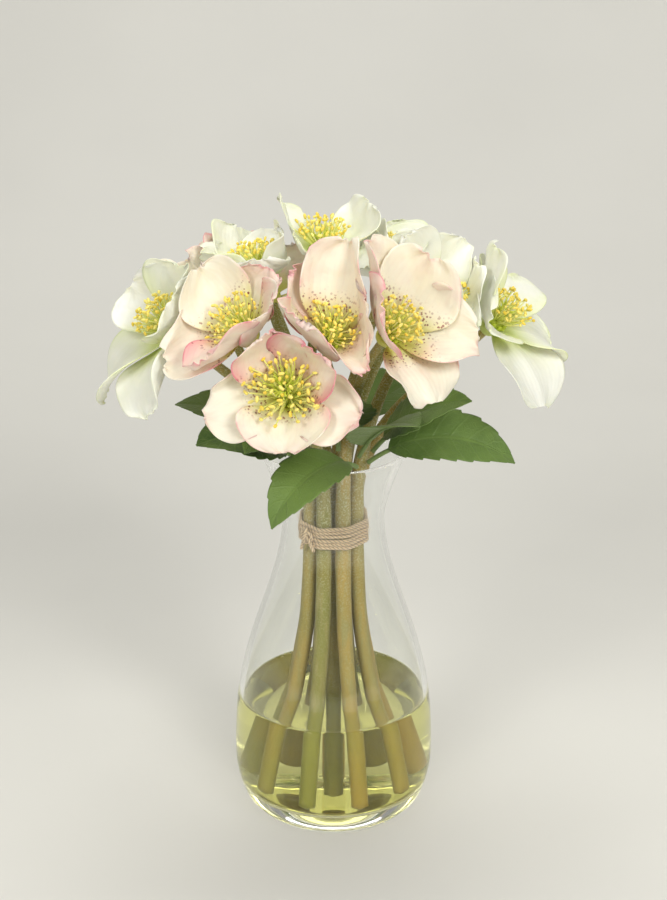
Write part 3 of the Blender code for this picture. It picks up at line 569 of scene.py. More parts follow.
def thread_group():
    """The fine lengthwise veins of a sepal, fanning from its claw, as a mask and a height."""
    tree, nodes, given, leaving = group_tree("Petal veins", [("Count", 15.0)], ["Mask", "Height"])
    if nodes:
        across, along = nodes.across_along()
        wander = nodes.less(nodes.noise(nodes.place(), 90.0, 2.0), 0.5)
        count = nodes.times(nodes.times_add(wander, 0.10, across), given["Count"])
        wave = nodes.maths("SINE", nodes.times(count, 2.0 * math.pi))
        nodes.feed(leaving, {"Mask": nodes.times(nodes.fade(wave, 0.55, 1.0), nodes.fade(along, 0.98, 0.55)),
                             "Height": nodes.times_add(wave, 0.5, 0.5)})
    return tree


def new_material(name):
    """An empty Principled material as (material, its Principled node, Nodes)."""
    old = bpy.data.materials.get(name)
    if old:
        bpy.data.materials.remove(old)
    made = bpy.data.materials.new(name)
    made.use_nodes = True
    return made, made.node_tree.nodes["Principled BSDF"], Nodes(made.node_tree)


def use_group(nodes, tree, output, **inputs):
    """The named output of a group placed in a material, with its inputs set."""
    node = nodes.tree.nodes.new("ShaderNodeGroup")
    node.node_tree = tree
    nodes.feed(node, {key.capitalize(): value for key, value in inputs.items()})
    return node.outputs[output]


def bump(nodes, shader, height, distance, strength):
    """Feeds the shader's Normal from a height, in metres at full height."""
    normal = nodes.put("ShaderNodeBump", 0, {"Height": height, "Distance": distance, "Strength": strength})
    nodes.feed(shader, {"Normal": normal})


def rgba(colour):
    """A colour of three shares, with the fourth that a socket asks for."""
    return (colour[0], colour[1], colour[2], 1.0)


def sepal_finish(name, ground, throat, flush, flush_amount, speckle_amount):
    """Satin sepals: a ground colour that turns to the throat colour at the claw, flushed along its edges and
    veins, with dark speckles near the throat. Few speckles show on the back."""
    made, shader, nodes = new_material(name)
    across, along = nodes.across_along()
    outer = nodes.larger(nodes.off_middle(across), along)
    mottle = nodes.noise(nodes.place(), 70.0, 3.0)
    lot = nodes.attribute("lot")
    patch = nodes.fade(nodes.times_add(lot, 0.3, mottle), 0.48, 0.78)
    line = nodes.times(nodes.fade(outer, 0.955, 0.995), nodes.fade(mottle, 0.40, 0.60))
    rim = nodes.times(nodes.fade(outer, 0.62, 1.0), patch)
    middle = nodes.times(nodes.fade(along, 0.15, 0.40), nodes.fade(along, 0.85, 0.45))
    blush = nodes.times_add(line, 0.62, nodes.times(rim, 0.56))
    blush = nodes.times_add(nodes.times(middle, patch), 0.50, blush)
    blush = nodes.times_add(use_group(nodes, thread_group(), "Mask"), 0.07, blush)
    blush = nodes.times(blush, nodes.times_add(lot, flush_amount, 0.6 * flush_amount), clamp=True)
    colour = nodes.mix(nodes.fade(along, 0.50, 0.08), rgba(ground), rgba(throat))
    colour = nodes.mix(blush, colour, rgba(flush))
    span = nodes.span("Span")
    dot = nodes.fade(nodes.cells(span, 7.0), 0.42, 0.28)
    zone = nodes.times(nodes.fade(along, 0.08, 0.16), nodes.fade(along, 0.54, 0.32))
    zone = nodes.times(zone, nodes.fade(nodes.noise(span, 5.0, 1.0), 0.38, 0.50))
    inside = nodes.less(1.0, nodes.times(nodes.attribute("back"), 0.9))
    spots = nodes.times(nodes.times(dot, zone), nodes.times(inside, speckle_amount), clamp=True)
    colour = nodes.mix(spots, colour, rgba(SPECKLE))
    nodes.feed(shader, {"Base Color": colour, "Roughness": 0.52, "Specular IOR Level": 0.35,
                        "Sheen Weight": 0.10, "Sheen Roughness": 0.4, "Subsurface Weight": 0.30,
                        "Subsurface Radius": (1.0, 0.8, 0.6), "Subsurface Scale": 2.5 * MM})
    relief = nodes.times_add(use_group(nodes, thread_group(), "Height"), 0.5,
                             use_group(nodes, dapple_group(), "Height", coarse=220.0, fine=1800.0))
    bump(nodes, shader, relief, 0.12 * MM, 0.6)
    return made


def leaf_finish():
    """Matt leather-green leaves: side veins run from the midrib to the teeth, paler than the blade, and the
    back is greyer than the face."""
    made, shader, nodes = new_material("Leaf green")
    across, along = nodes.across_along()
    out = nodes.off_middle(across)
    phase = nodes.times(nodes.less(along, nodes.times(out, VEIN_SLANT)), SIDE_VEINS)
    wave = nodes.maths("ABSOLUTE", nodes.less(nodes.maths("FRACT", phase), 0.5))
    side_vein = nodes.fade(wave, 0.10, 0.0)
    midrib = nodes.fade(out, 0.09, 0.02)
    veins = nodes.larger(midrib, nodes.times(side_vein, 0.7))
    net = nodes.fade(nodes.cells(nodes.span("Span"), 4.0, feature="DISTANCE_TO_EDGE"), 0.10, 0.02)
    mottle = use_group(nodes, dapple_group(), "Mask", coarse=95.0, fine=700.0)
    face = nodes.mix(mottle, rgba(LEAF_DARK), rgba(LEAF_MIDDLE))
    face = nodes.mix(nodes.times(veins, 0.50), face, rgba(LEAF_VEIN))
    face = nodes.mix(nodes.times(net, 0.22), face, rgba(LEAF_NET))
    face = nodes.mix(nodes.attribute("lot"), face, rgba(LEAF_YOUNG))
    colour = nodes.mix(nodes.attribute("back"), face, rgba(LEAF_BACK))
    nodes.feed(shader, {"Base Color": colour, "Roughness": 0.50, "Specular IOR Level": 0.40,
                        "Sheen Weight": 0.12})
    height = nodes.times_add(veins, -1.0, nodes.times(net, -0.25))
    height = nodes.maths("ADD", height, use_group(nodes, dapple_group(), "Height", coarse=300.0, fine=1500.0))
    bump(nodes, shader, height, 0.25 * MM, 0.8)
    return made


def stem_finish():
    """Olive stems: lengthwise streaks from green to ochre, pale down towards the top, and painted shade under
    the water: a deeper, more ochre tone that stands in for the water's shade and tint."""
    made, shader, nodes = new_material("Stem olive")
    place = nodes.place()
    streak = nodes.noise(nodes.stretch(place, (1.0, 1.0, 0.12)), 420.0, 3.0)
    broad = nodes.noise(place, 28.0, 2.0)
    down = nodes.noise(place, 1500.0, 2.0)
    height = nodes.split(place, 2)
    tint = nodes.fade(nodes.times_add(nodes.attribute("lot"), 0.5, nodes.times(broad, 0.8)), 0.35, 0.9)
    colour = nodes.mix(tint, rgba(STEM_GREEN), rgba(STEM_OCHRE))
    colour = nodes.mix(nodes.fade(streak, 0.42, 0.68), colour, rgba(STEM_STREAK))
    downy = nodes.times(nodes.fade(height, 85 * MM, 170 * MM, 0.15, 0.85), nodes.fade(down, 0.48, 0.66))
    colour = nodes.mix(downy, colour, rgba(STEM_DOWN))
    # Painted shade: below the water line the stems take a darker, more ochre tone for the water's shade and
    # tint.
    underwater_shade = nodes.mix(tint, rgba(UNDERWATER_SHADE_GREEN), rgba(UNDERWATER_SHADE_OCHRE))
    colour = nodes.mix(nodes.fade(height, 62 * MM, 50 * MM, 0.0, 0.75), colour, underwater_shade)
    nodes.feed(shader, {"Base Color": colour, "Roughness": 0.60, "Sheen Weight": 0.15,
                        "Sheen Roughness": 0.45})
    bump(nodes, shader, nodes.maths("ADD", nodes.times(streak, 0.6), down), 0.30 * MM, 0.8)
    return made


def stamen_finish():
    """Stamens and styles: part is 0 at the lime-green foot, 0.5 up the pale thread and 1 at the anther."""
    made, shader, nodes = new_material("Stamen lime and yellow")
    part = nodes.attribute("part")
    lot = nodes.attribute("lot")
    grain = nodes.noise(nodes.place(), 2500.0, 2.0)
    foot, thread, anther = (nodes.mix(lot, rgba(one), rgba(other)) for one, other in STAMEN_COLOURS)
    colour = nodes.mix(nodes.fade(part, 0.05, 0.5), foot, thread)
    colour = nodes.mix(nodes.fade(part, 0.62, 0.8), colour, anther)
    colour = nodes.mix(nodes.fade(grain, 0.5, 0.75, 0.0, 0.25), colour, rgba(POLLEN))
    nodes.feed(shader, {"Base Color": colour, "Roughness": 0.6, "Subsurface Weight": 0.2,
                        "Subsurface Radius": (1.0, 0.9, 0.4), "Subsurface Scale": 1.0 * MM})
    bump(nodes, shader, grain, 0.2 * MM, 0.6)
    return made


def twine_finish():
    """Dry tan fibres that follow the lay of the strands, with painted shade in the grooves between them."""
    made, shader, nodes = new_material("Twine tan")
    fibre = nodes.noise(nodes.stretch(nodes.span("Lay"), (9.0, 60.0, 1.0)), 1.0, 4.0, 0.7)
    patch = nodes.noise(nodes.place(), 180.0, 2.0)
    colour = nodes.mix(nodes.fade(fibre, 0.32, 0.68), rgba(TWINE_TAN), rgba(TWINE_STRAW))
    colour = nodes.mix(nodes.fade(patch, 0.4, 0.7, 0.0, 0.45), colour, rgba(TWINE_WORN))
    # Painted shade: darker in the grooves between the strands.
    groove = nodes.fade(nodes.attribute("groove"), 0.35, 1.0, 0.0, 0.75)
    colour = nodes.mix(groove, colour, rgba(TWINE_GROOVE_SHADE))
    nodes.feed(shader, {"Base Color": colour, "Roughness": 0.92, "Sheen Weight": 0.35})
    bump(nodes, shader, fibre, 0.35 * MM, 0.9)
    return made


def clear_finish(name, colour, bending, held_back):
    """A clear, smooth body. Lamp light and bounced light pass it, less the share held back, so its shadow
    stays pale. Light that has turned too often inside it passes too, so its thick edges stay bright."""
    made, shader, nodes = new_material(name)
    path = nodes.tree.nodes.new("ShaderNodeLightPath")
    passing = nodes.larger(path.outputs["Is Shadow Ray"], path.outputs["Is Diffuse Ray"])
    for depth, most in (("Ray Depth", MOST_TURNS), ("Glossy Depth", MOST_GLINTS)):
        passing = nodes.larger(passing, nodes.maths("GREATER_THAN", path.outputs[depth], most))
    alpha = nodes.less(1.0, nodes.times(passing, 1.0 - held_back))
    nodes.feed(shader, {"Base Color": colour, "Roughness": 0.0, "IOR": bending, "Transmission Weight": 1.0,
                        "Alpha": alpha})
    return made


def glass_finish():
    """Clear glass with a faint grey-green cast."""
    return clear_finish("Vase glass", rgba(GLASS_CAST), 1.48, 0.06)


def water_finish(tint):
    """Clear water with a pale yellow-green tint."""
    return clear_finish("Water", rgba(tint), 1.33, 0.05)


# The vase, the water, the tie and the stems.


def vase_radius(height):
    """The vase's outer radius at a height: a quarter ellipse under the belly, a lopsided cosine from the
    belly to the neck, and a power curve out to the rim."""
    height = np.asarray(height, float)
    fall = np.clip((BELLY_HEIGHT - height) / BELLY_HEIGHT, 0.0, 1.0)
    foot = FOOT_RADIUS + (BELLY_RADIUS - FOOT_RADIUS) * np.sqrt(1.0 - fall**2)
    climb = np.clip((height - BELLY_HEIGHT) / (NECK_HEIGHT - BELLY_HEIGHT), 0.0, 1.0) ** SHOULDER_FULLNESS
    waist = NECK_RADIUS + (BELLY_RADIUS - NECK_RADIUS) * 0.5 * (1.0 + np.cos(np.pi * climb))
    flare = np.clip((height - NECK_HEIGHT) / (VASE_HEIGHT - NECK_HEIGHT), 0.0, 1.0)
    mouth = NECK_RADIUS + (RIM_RADIUS - NECK_RADIUS) * flare**FLARE_POWER
    return np.where(height < BELLY_HEIGHT, foot, np.where(height < NECK_HEIGHT, waist, mouth))


def bore_radius(height):
    """The vase's inner radius at a height: the outer one less the wall, drawn in to the flat floor."""
    height = np.asarray(height, float)
    fall = np.clip((BELLY_HEIGHT - height) / (BELLY_HEIGHT - FLOOR_HEIGHT), 0.0, 1.0)
    bowl = FLOOR_RADIUS + (BELLY_RADIUS - WALL - FLOOR_RADIUS) * np.sqrt(1.0 - fall**2)
    return np.where(height < BELLY_HEIGHT, bowl, vase_radius(height) - WALL)


def make_vase():
    """The glass, turned on a fine profile: the flat foot, the belly, the waist, a rounded lip, the bore and
    the flat floor."""
    low = BELLY_HEIGHT * (1.0 - np.cos(np.linspace(0.0, 0.5 * np.pi, 22)))
    side = np.linspace(BELLY_HEIGHT, VASE_HEIGHT - 0.6 * LIP_WALL, 70)[1:]
    outer = np.concatenate([low, side])
    lean = FLARE_POWER * (RIM_RADIUS - NECK_RADIUS) / (VASE_HEIGHT - NECK_HEIGHT)
    lip = np.linspace(0.0, np.pi, 17)[1:]
    lip_middle = vase_radius(side[-1]) - 0.5 * LIP_WALL
    lip_r = lip_middle + 0.5 * LIP_WALL * np.cos(lip) + lean * 0.5 * LIP_WALL * np.sin(lip)
    lip_z = side[-1] + 0.55 * LIP_WALL * np.sin(lip)
    inner = np.linspace(side[-1] - LIP_WALL, BELLY_HEIGHT, 64)
    wall = LIP_WALL + (WALL - LIP_WALL) * np.clip((side[-1] - inner) / LIP_RUN, 0.0, 1.0)
    bore_r = np.where(inner > BELLY_HEIGHT, vase_radius(inner) - wall, bore_radius(inner))
    bowl = FLOOR_HEIGHT + (BELLY_HEIGHT - FLOOR_HEIGHT) * np.cos(np.linspace(0.0, 0.5 * np.pi, 16))[1:]
    floor_r = FLOOR_RADIUS * np.linspace(1.0, 0.0, 14)[1:]
    foot_r = FOOT_RADIUS * np.array([0.0, 0.3, 0.6, 0.86])
    radius = np.concatenate([foot_r, vase_radius(outer), lip_r, bore_r, bore_radius(bowl), floor_r])
    height = np.concatenate([0.0 * foot_r, outer, lip_z, inner, bowl, np.full(len(floor_r), FLOOR_HEIGHT)])
    pile = Pile()
    turned(pile, radius, height, 144)
    show("vase_glass", pile, glass_finish(), "vase")


def make_water(level, tint):
    """The water: the bore's own profile up to its level, a hair into the glass, with a small rise where it
    meets the glass."""
    up = FLOOR_HEIGHT + (level - FLOOR_HEIGHT) * np.linspace(0.0, 1.0, 60) ** 1.6
    wet = bore_radius(up) + 1.2 * WATER_SINK
    creep = np.linspace(1.0, 0.0, 14)
    top_r = float(bore_radius(level)) * (1.0 - 0.10 * (1.0 - creep)) + WATER_SINK * creep
    top_z = level - WATER_CREEP * (1.0 - creep**2.5)
    flat = np.linspace(top_r[-1], 0.0, 12)[1:]
    bottom = up - WATER_SINK * (up < FLOOR_HEIGHT + 2.0 * WATER_SINK)
    radius = np.concatenate([[0.0], wet, top_r[1:], flat])
    height = np.concatenate([[FLOOR_HEIGHT - WATER_SINK], bottom, top_z[1:], np.full(len(flat), top_z[-1])])
    pile = Pile()
    turned(pile, radius, height, 128)
    show("water_fill", pile, water_finish(tint), "water")


def bundle_radius(angle, round_radius):
    """The radius, at an angle, of a band drawn tight round the ring of stems: an arc round each stem and a
    straight run between two of them."""
    half = np.pi / RING_STEMS
    turn = np.abs(np.mod(angle, 2 * half) - half)
    edge = np.arctan2(np.sin(half) * round_radius, RING_RADIUS + np.cos(half) * round_radius)
    beyond = np.sqrt(np.maximum(round_radius**2 - (RING_RADIUS * np.sin(turn)) ** 2, 0))
    run = (RING_RADIUS * np.cos(half) + round_radius) / np.cos(half - turn)
    return np.where(turn < edge, RING_RADIUS * np.cos(turn) + beyond, run)


def laid_cord(pile, path, radius):
    """Three-strand cord along an open path: a circle with three lobes, which turn as it runs along."""
    sides = 14
    ahead = unit(np.gradient(path, axis=0))
    run = run_along(path)[:, None]
    spare = unit(path - UP * path[:, 2:3] + np.array([1e-6, 0.0, 0.0]))
    one = unit(spare - ahead * np.sum(spare * ahead, axis=1, keepdims=True))
    two = np.cross(ahead, one)
    turn = ring_angles(sides)[None, :]
    lobe = np.cos(3.0 * (turn - 2.0 * np.pi * run / TWINE_PITCH))
    ring = np.cos(turn)[..., None] * one[:, None, :] + np.sin(turn)[..., None] * two[:, None, :]
    skin = path[:, None, :] + (radius * (0.88 + 0.13 * lobe))[..., None] * ring
    tips = path[[0, -1]] + ahead[[0, -1]] * radius * np.array([[-0.4], [0.4]])
    lay = np.stack(np.broadcast_arrays(run / CM, turn / (2 * np.pi) - run / TWINE_PITCH), axis=-1)
    lay = np.concatenate([lay.reshape(-1, 2), lay[[0, -1], 0]])
    # Painted shade in the grooves: 1 between the strands, 0 on their crowns.
    groove = np.concatenate([(0.5 - 0.5 * lobe).reshape(-1), [0.5, 0.5]])
    pile.add(np.concatenate([skin.reshape(-1, 3), tips]), grid_quads(len(path), sides, wrap_columns=True),
             end_fans(len(path), sides), map_Lay=lay, groove=groove)


def tie_knot(pile, radius, tight):
    """The knot: a flat loop, a wrap over it and two short ends that hang down."""
    here = np.array([math.cos(KNOT_ANGLE), math.sin(KNOT_ANGLE), 0.0])
    along = np.array([-here[1], here[0], 0.0])
    middle = here * (float(bundle_radius(KNOT_ANGLE, tight)) + 2.0 * radius) + UP * TIE_HEIGHT
    t = np.linspace(0.0, 1.0, 70)[:, None]
    once, twice = 2 * np.pi * t, 4 * np.pi * t
    loop = middle + along * (2.6 * MM) * np.sin(once) + UP * (2.0 * MM) * np.sin(twice) \
        + here * (0.9 * MM + 1.1 * MM * np.cos(once))
    laid_cord(pile, loop, radius * 0.95)
    wrap = middle + here * (1.2 * MM) * (1.0 + np.sin(once)) + UP * (3.4 * MM) * np.cos(once) \
        + along * (0.5 * MM) * np.sin(twice)
    laid_cord(pile, wrap, radius * 0.9)
    for way, drop, reach in ((1.0, -1.0, 7.5 * MM), (-1.0, -1.4, 6.0 * MM)):
        tail = middle + here * (1.6 * MM) * (1.0 - 0.4 * t) + along * way * reach * 0.55 * t \
            + UP * drop * reach * t**1.3 * 0.9
        laid_cord(pile, tail, radius * 0.85)


def loose_fibres(pile, radius, tight):
    """Short fibres that leave the winding, swing round it a little and rise."""
    draw = np.random.default_rng(SEED)
    at = draw.uniform(0.0, 2.0 * np.pi, FIBRES)
    root = bundle_radius(at, tight) + draw.uniform(1.0, 1.9, FIBRES) * radius
    high = TIE_HEIGHT + draw.uniform(-0.5, 0.5, FIBRES) * TWINE_TURNS * TWINE_DIAMETER
    length = draw.uniform(1.0, 3.2, FIBRES)[:, None] * MM
    swing = draw.normal(0.0, 0.8, FIBRES)[:, None]
    lift = draw.normal(0.0, 0.7, FIBRES)[:, None]
    s = np.linspace(0.0, 1.0, 5)[None, :]
    out = root[:, None] + length * s * 0.6
    turn = at[:, None] + swing * length * s / (14.0 * MM)
    up = high[:, None] + lift * length * s + 0.3 * length * s**2
    paths = np.stack([out * np.cos(turn), out * np.sin(turn), up], axis=-1)
    radii = np.broadcast_to(np.linspace(0.055, 0.02, 5) * MM, (FIBRES, 5))
    # The loose fibres take no painted groove shade.
    tubes(pile, paths, radii, 3, groove=0.0, map_Lay=(0.0, 0.0))


def make_twine():
    """Six turns of three-strand twine round the bunch as one winding, the knot on the front left with its two
    short ends, and loose fibres that stand off the cord."""
    pile = Pile()
    radius = 0.5 * TWINE_DIAMETER
    tight = STEM_RADIUS + TWINE_CLEARANCE
    turns = np.linspace(0.0, TWINE_TURNS - 0.25, 900)
    angle = KNOT_ANGLE + turns * 2.0 * np.pi
    out = bundle_radius(angle, tight) + radius * 0.92 + 0.18 * MM * np.sin(2.3 * angle)
    wander = 0.22 * MM * np.sin(3.1 * angle + 1.0) + 0.16 * MM * np.sin(1.7 * angle)
    up = TIE_HEIGHT + (turns - 0.5 * TWINE_TURNS + 0.1) * TWINE_DIAMETER * 1.04 + wander
    laid_cord(pile, np.stack([out * np.cos(angle), out * np.sin(angle), up], axis=-1), radius)
    tie_knot(pile, radius, tight)
    loose_fibres(pile, radius, tight)
    show("twine_tie", pile, twine_finish(), "twine")


def stem_places():
    """Where each stem stands in the bunch, level with the tie."""
    radii = {"middle": MIDDLE_RADIUS, "ring": RING_RADIUS}
    return [radii[where] * np.array([math.cos(math.radians(angle)), math.sin(math.radians(angle)), 0.0])
            for where, angle, _, _ in STEMS]


def bend(start, leave, arrive, end, share):
    """Points on the smooth bend from start to end, which leaves and arrives by way of two handles."""
    share = np.asarray(share, float)[:, None]
    rest = 1.0 - share
    return start * rest**3 + leave * 3 * share * rest**2 + arrive * 3 * share**2 * rest + end * share**3


def facing(degrees_round, degrees_up):
    """The unit vector that points this way round the vase and this far above level."""
    a, e = math.radians(degrees_round), math.radians(degrees_up)
    return np.array([math.cos(a) * math.cos(e), math.sin(a) * math.cos(e), math.sin(e)])


def bloom_frame(bloom):
    """(place, right, up, out): the bloom's own axes."""
    out = facing(*bloom["faces"])
    up = unit(UP - out * out[2])
    return np.array(bloom["place"], float) * MM, np.cross(up, out), up, out


def head_end(name):
    """(top, handle): where a stem meets the back of a bloom, and the point behind it that it arrives from."""
    place, _, _, out = bloom_frame(BLOOMS[name])
    top = place - out * (RECEPTACLE_DEPTH - 0.6 * MM)
    return top, top - out * HEAD_RUN


def evened(path, count):
    """The same path at evenly spaced points."""
    run = run_along(path)
    at = np.linspace(0.0, run[-1], count)
    return np.stack([np.interp(at, run, path[:, axis]) for axis in range(3)], axis=-1)


def rounded(path, passes):
    """The same path with its corners eased: each inner point drawn to the mean of its neighbours."""
    for _ in range(passes):
        path[1:-1] = 0.25 * path[:-2] + 0.5 * path[1:-1] + 0.25 * path[2:]
    return path


def make_stems():
    """Ten stems, each from the floor up to the tie, through it, then out to the back of its bloom. Three fork
    to a second bloom. Each swells and narrows a little along its length."""
    finish = stem_finish()
    for number, (place, (_, _, bloom, fork)) in enumerate(zip(stem_places(), STEMS), 1):
        name = f"stem_{number:02d}"
        lot = np.random.default_rng(SEED * 100 + number).uniform(0.0, 1.0)
        pile = Pile()
        over = place + UP * (TIE_HEIGHT + TIE_RUN)
        below = np.array([place * spread + UP * height for height, spread in BUNCH_SPREAD])
        top, arrive = head_end(bloom)
        curve = (over, over + UP * NECK_RISE, arrive, top)
        path = np.concatenate([below, bend(*curve, np.linspace(0.0, 1.0, 60))])
        path = rounded(evened(path, 130), 50)
        thin = np.clip((path[:, 2] - over[2]) / (top[2] - over[2]), 0.0, 1.0)
        radius = STEM_RADIUS + (STEM_TOP_RADIUS - STEM_RADIUS) * thin
        ripple = 1.0 + 0.025 * smooth_noise(path, 26 * MM, SEED + number)
        tubes(pile, path[None], (radius * ripple * STEM_SLACK)[None], 24, lot=lot)
        if fork:
            start, beyond = bend(*curve, [FORK_AT, FORK_AT + 0.05])
            end, near = head_end(fork)
            handle = start + unit(beyond - start) * 0.4 * np.linalg.norm(end - start)
            path = bend(start, handle, near, end, np.linspace(0.0, 1.0, 70))
            tubes(pile, path[None], np.linspace(BRANCH_RADIUS, STEM_TOP_RADIUS, 70)[None], 20, lot=lot)
        show(f"{name}_skin", pile, finish, name)


# The leaves.


def leaf_line(leaf, u):
    """(points, sides, normals) along a leaf's midrib at u: its slope and heading change evenly."""
    slope = np.radians(leaf["rise"][0] + (leaf["rise"][1] - leaf["rise"][0]) * u)
    way = np.radians(leaf["way"] + leaf["bend"] * u)
    ahead = np.stack([np.cos(slope) * np.cos(way), np.cos(slope) * np.sin(way), np.sin(slope)], axis=-1)
    step = np.diff(u, prepend=0.0)[:, None] * leaf["length"] * MM
    middle = ahead.copy()
    middle[1:] = 0.5 * (ahead[1:] + ahead[:-1])
    points = np.array(leaf["foot"]) * MM + np.cumsum(middle * step, axis=0)
    side = np.stack([-np.sin(way), np.cos(way), np.zeros_like(way)], axis=-1)
    normal = np.cross(ahead, side)
    c, s = math.cos(math.radians(leaf["roll"])), math.sin(math.radians(leaf["roll"]))
    return points, side * c + normal * s, normal * c - side * s


def leaf_outline(u):
    """A leaf blade's half width as a share of its widest: a lance shape, widest before the middle."""
    return np.clip(np.sin(np.pi * np.clip(u, 0.0, 1.0) ** 0.8), 0.0, 1.0) ** 0.85


def make_leaves():
    """Ten leaves, each a thin blade on a round stalk. A blade folds up a little along its midrib, its
    surface rises between the side veins, its edge waves, and its outline is a lance shape cut into forward
    saw teeth."""
    finish = leaf_finish()
    rows, columns = 150, 25
    t = np.linspace(0.0, 1.0, rows)
    along = t[:, None]
    share = np.linspace(-1.0, 1.0, columns)
    out = np.abs(share)
    outline = leaf_outline(t)
    tooth = 1.0 - TOOTH_DEPTH * (1.0 - np.mod(t * SIDE_VEINS, 1.0)) ** 1.4 * np.clip(6.0 * t, 0.0, 1.0)
    veins = np.abs(np.mod((along - VEIN_SLANT * out) * SIDE_VEINS, 1.0) - 0.5)
    blade_map = np.stack(np.broadcast_arrays(0.5 + 0.5 * share, along), axis=-1)
    u = np.linspace(0.0, RIB_END, 90)
    rib = np.interp(u, [0.0, LEAF_STALK, LEAF_STALK + 0.1, RIB_END], np.array([1.1, 1.0, 0.75, 0.16]) * MM)
    under = (np.clip(u / LEAF_STALK, 0.0, 1.0) * 0.75 * MM)[:, None]
    row = np.minimum((np.maximum(u - LEAF_STALK, 0) / (1 - LEAF_STALK) * rows).astype(int), rows)
    for number, (name, leaf) in enumerate(LEAVES.items()):
        draw = np.random.default_rng(SEED * 10 + number)
        phase = draw.uniform(0.0, 2.0 * np.pi, 3)[0]
        lot = float(draw.uniform(0.0, 0.9))
        line = leaf_line(leaf, np.concatenate([[0.0], LEAF_STALK + (1.0 - LEAF_STALK) * t]))
        points, side, normal = (part[1:] for part in line)
        half = 0.5 * leaf["width"] * MM * np.maximum(outline * tooth, 0.035)[:, None]
        lift = 0.16 * half * out
        lift = lift + 0.35 * MM * (np.sqrt(veins * 2.0) - 0.7) * out * (1.0 - out**4) * outline[:, None]
        lift = lift + 0.055 * half * out**3 * np.sin(9.0 * along + phase + np.sign(share) * 1.2)
        lift = lift - 0.5 * MM * np.exp(-(out / 0.06) ** 2) * outline[:, None]
        grid = points[:, None, :] + side[:, None, :] * (half * share)[..., None] \
            + normal[:, None, :] * lift[..., None]
        span = np.stack(np.broadcast_arrays(half * share / CM, along * leaf["length"] / 10.0), axis=-1)
        pile = Pile()
        blade(pile, grid, 0.5 * MM * (1.0 - 0.4 * out), map_Blade=blade_map, map_Span=span, lot=lot)
        path = leaf_line(leaf, u)[0] - np.concatenate([normal[:1], normal])[row] * under
        tubes(pile, path[None], rib[None], 12, lot=lot, back=0.85, map_Blade=(0.5, 0.5), map_Span=(0.0, 0.0))
        show(f"leaf_{name}_blade", pile, finish, f"leaf_{name}")


# The blooms.


def walls_of(name):
    """The planes that part a bloom from its neighbours, as (point, normal towards the neighbour, way up)."""
    place, _, _, out = bloom_frame(BLOOMS[name])
    head = place + out * HEAD_DEPTH
    found = []
    for other, bloom in BLOOMS.items():
        its_place, _, _, its_out = bloom_frame(bloom)
        apart = its_place + its_out * HEAD_DEPTH - head
        if other == name or np.linalg.norm(apart) > WALL_REACH:
            continue
        share = BLOOMS[name]["grip"] / (BLOOMS[name]["grip"] + bloom["grip"])
        normal = unit(apart)
        rise = out + its_out
        found.append((head + apart * share, normal, unit(rise - normal * (rise @ normal))))
    return found


def bent_clear(points, walls):
    """Points of a sepal, turned up along each wall that they would pass, so that neighbours only press
    together."""
    for _ in range(WALL_PASSES):
        for point, normal, rise in walls:
            beyond = (points - point) @ normal + WALL_MARGIN
            over = 0.5 * (beyond + np.sqrt(beyond**2 + WALL_SOFTNESS**2))
            over = np.where(beyond > -3.0 * WALL_SOFTNESS, over, 0.0)
            points = points - over[..., None] * normal + 0.85 * over[..., None] * rise
    return points


def half_width(u):
    """A sepal's half width as a share of its widest: a quarter sine up from the claw, then a round end."""
    swell = CLAW_WIDTH + (1.0 - CLAW_WIDTH) * np.sin(0.5 * np.pi * np.clip(u / WIDEST_AT, 0.0, 1.0))
    fall = np.clip((u - WIDEST_AT) / TIP_BLUNTNESS, 0.0, 1.0)
    return swell * np.sqrt(1.0 - fall**2)


def sepals_of(name):
    """The sepals of a bloom, as dicts: its own list, or else five alike but for small seeded changes. A
    sepal that would press too far into the neighbours closes up. Of two sepals side by side, the more
    closed one has its edge inside, and the other outside."""
    bloom = BLOOMS[name]
    draw = random.Random(f"{SEED} {name}")
    given = bloom.get("sepals")
    if given is None:
        given = [(bloom["spin"] + 72 * i + draw.uniform(-6, 6), draw.uniform(0.93, 1.06),
                  draw.uniform(0.94, 1.06), draw.uniform(-5, 5)) for i in range(5)]
    sepals = [dict(turn=turn % 360, length=bloom["length"] * MM * length, width=bloom["width"] * MM * width,
                   tilt=tilt, phase=draw.uniform(0, math.tau), before=1, after=1)
              for turn, length, width, tilt in given]
    sepals.sort(key=lambda sepal: sepal["turn"])
    walls = walls_of(name)
    v, u = np.meshgrid((-1.0, -0.5, 0.0, 0.5, 1.0), (0.4, 0.7, 0.9, 1.0))
    for sepal in sepals:
        most = sepal["tilt"] + MOST_CLOSED
        while sepal["tilt"] < most and pressed(open_points(name, sepal, u, v), walls) > SEPAL_PRESS:
            sepal["tilt"] += 3
    for sepal, following in zip(sepals, sepals[1:] + sepals[:1]):
        inside = 1 if sepal["tilt"] >= following["tilt"] else -1
        sepal["after"], following["before"] = inside, -inside
    return sepals


def pressed(points, walls):
    """How far points pass beyond the walls of a bloom."""
    return max(((points - point) @ normal + WALL_MARGIN).max() for point, normal, _ in walls)


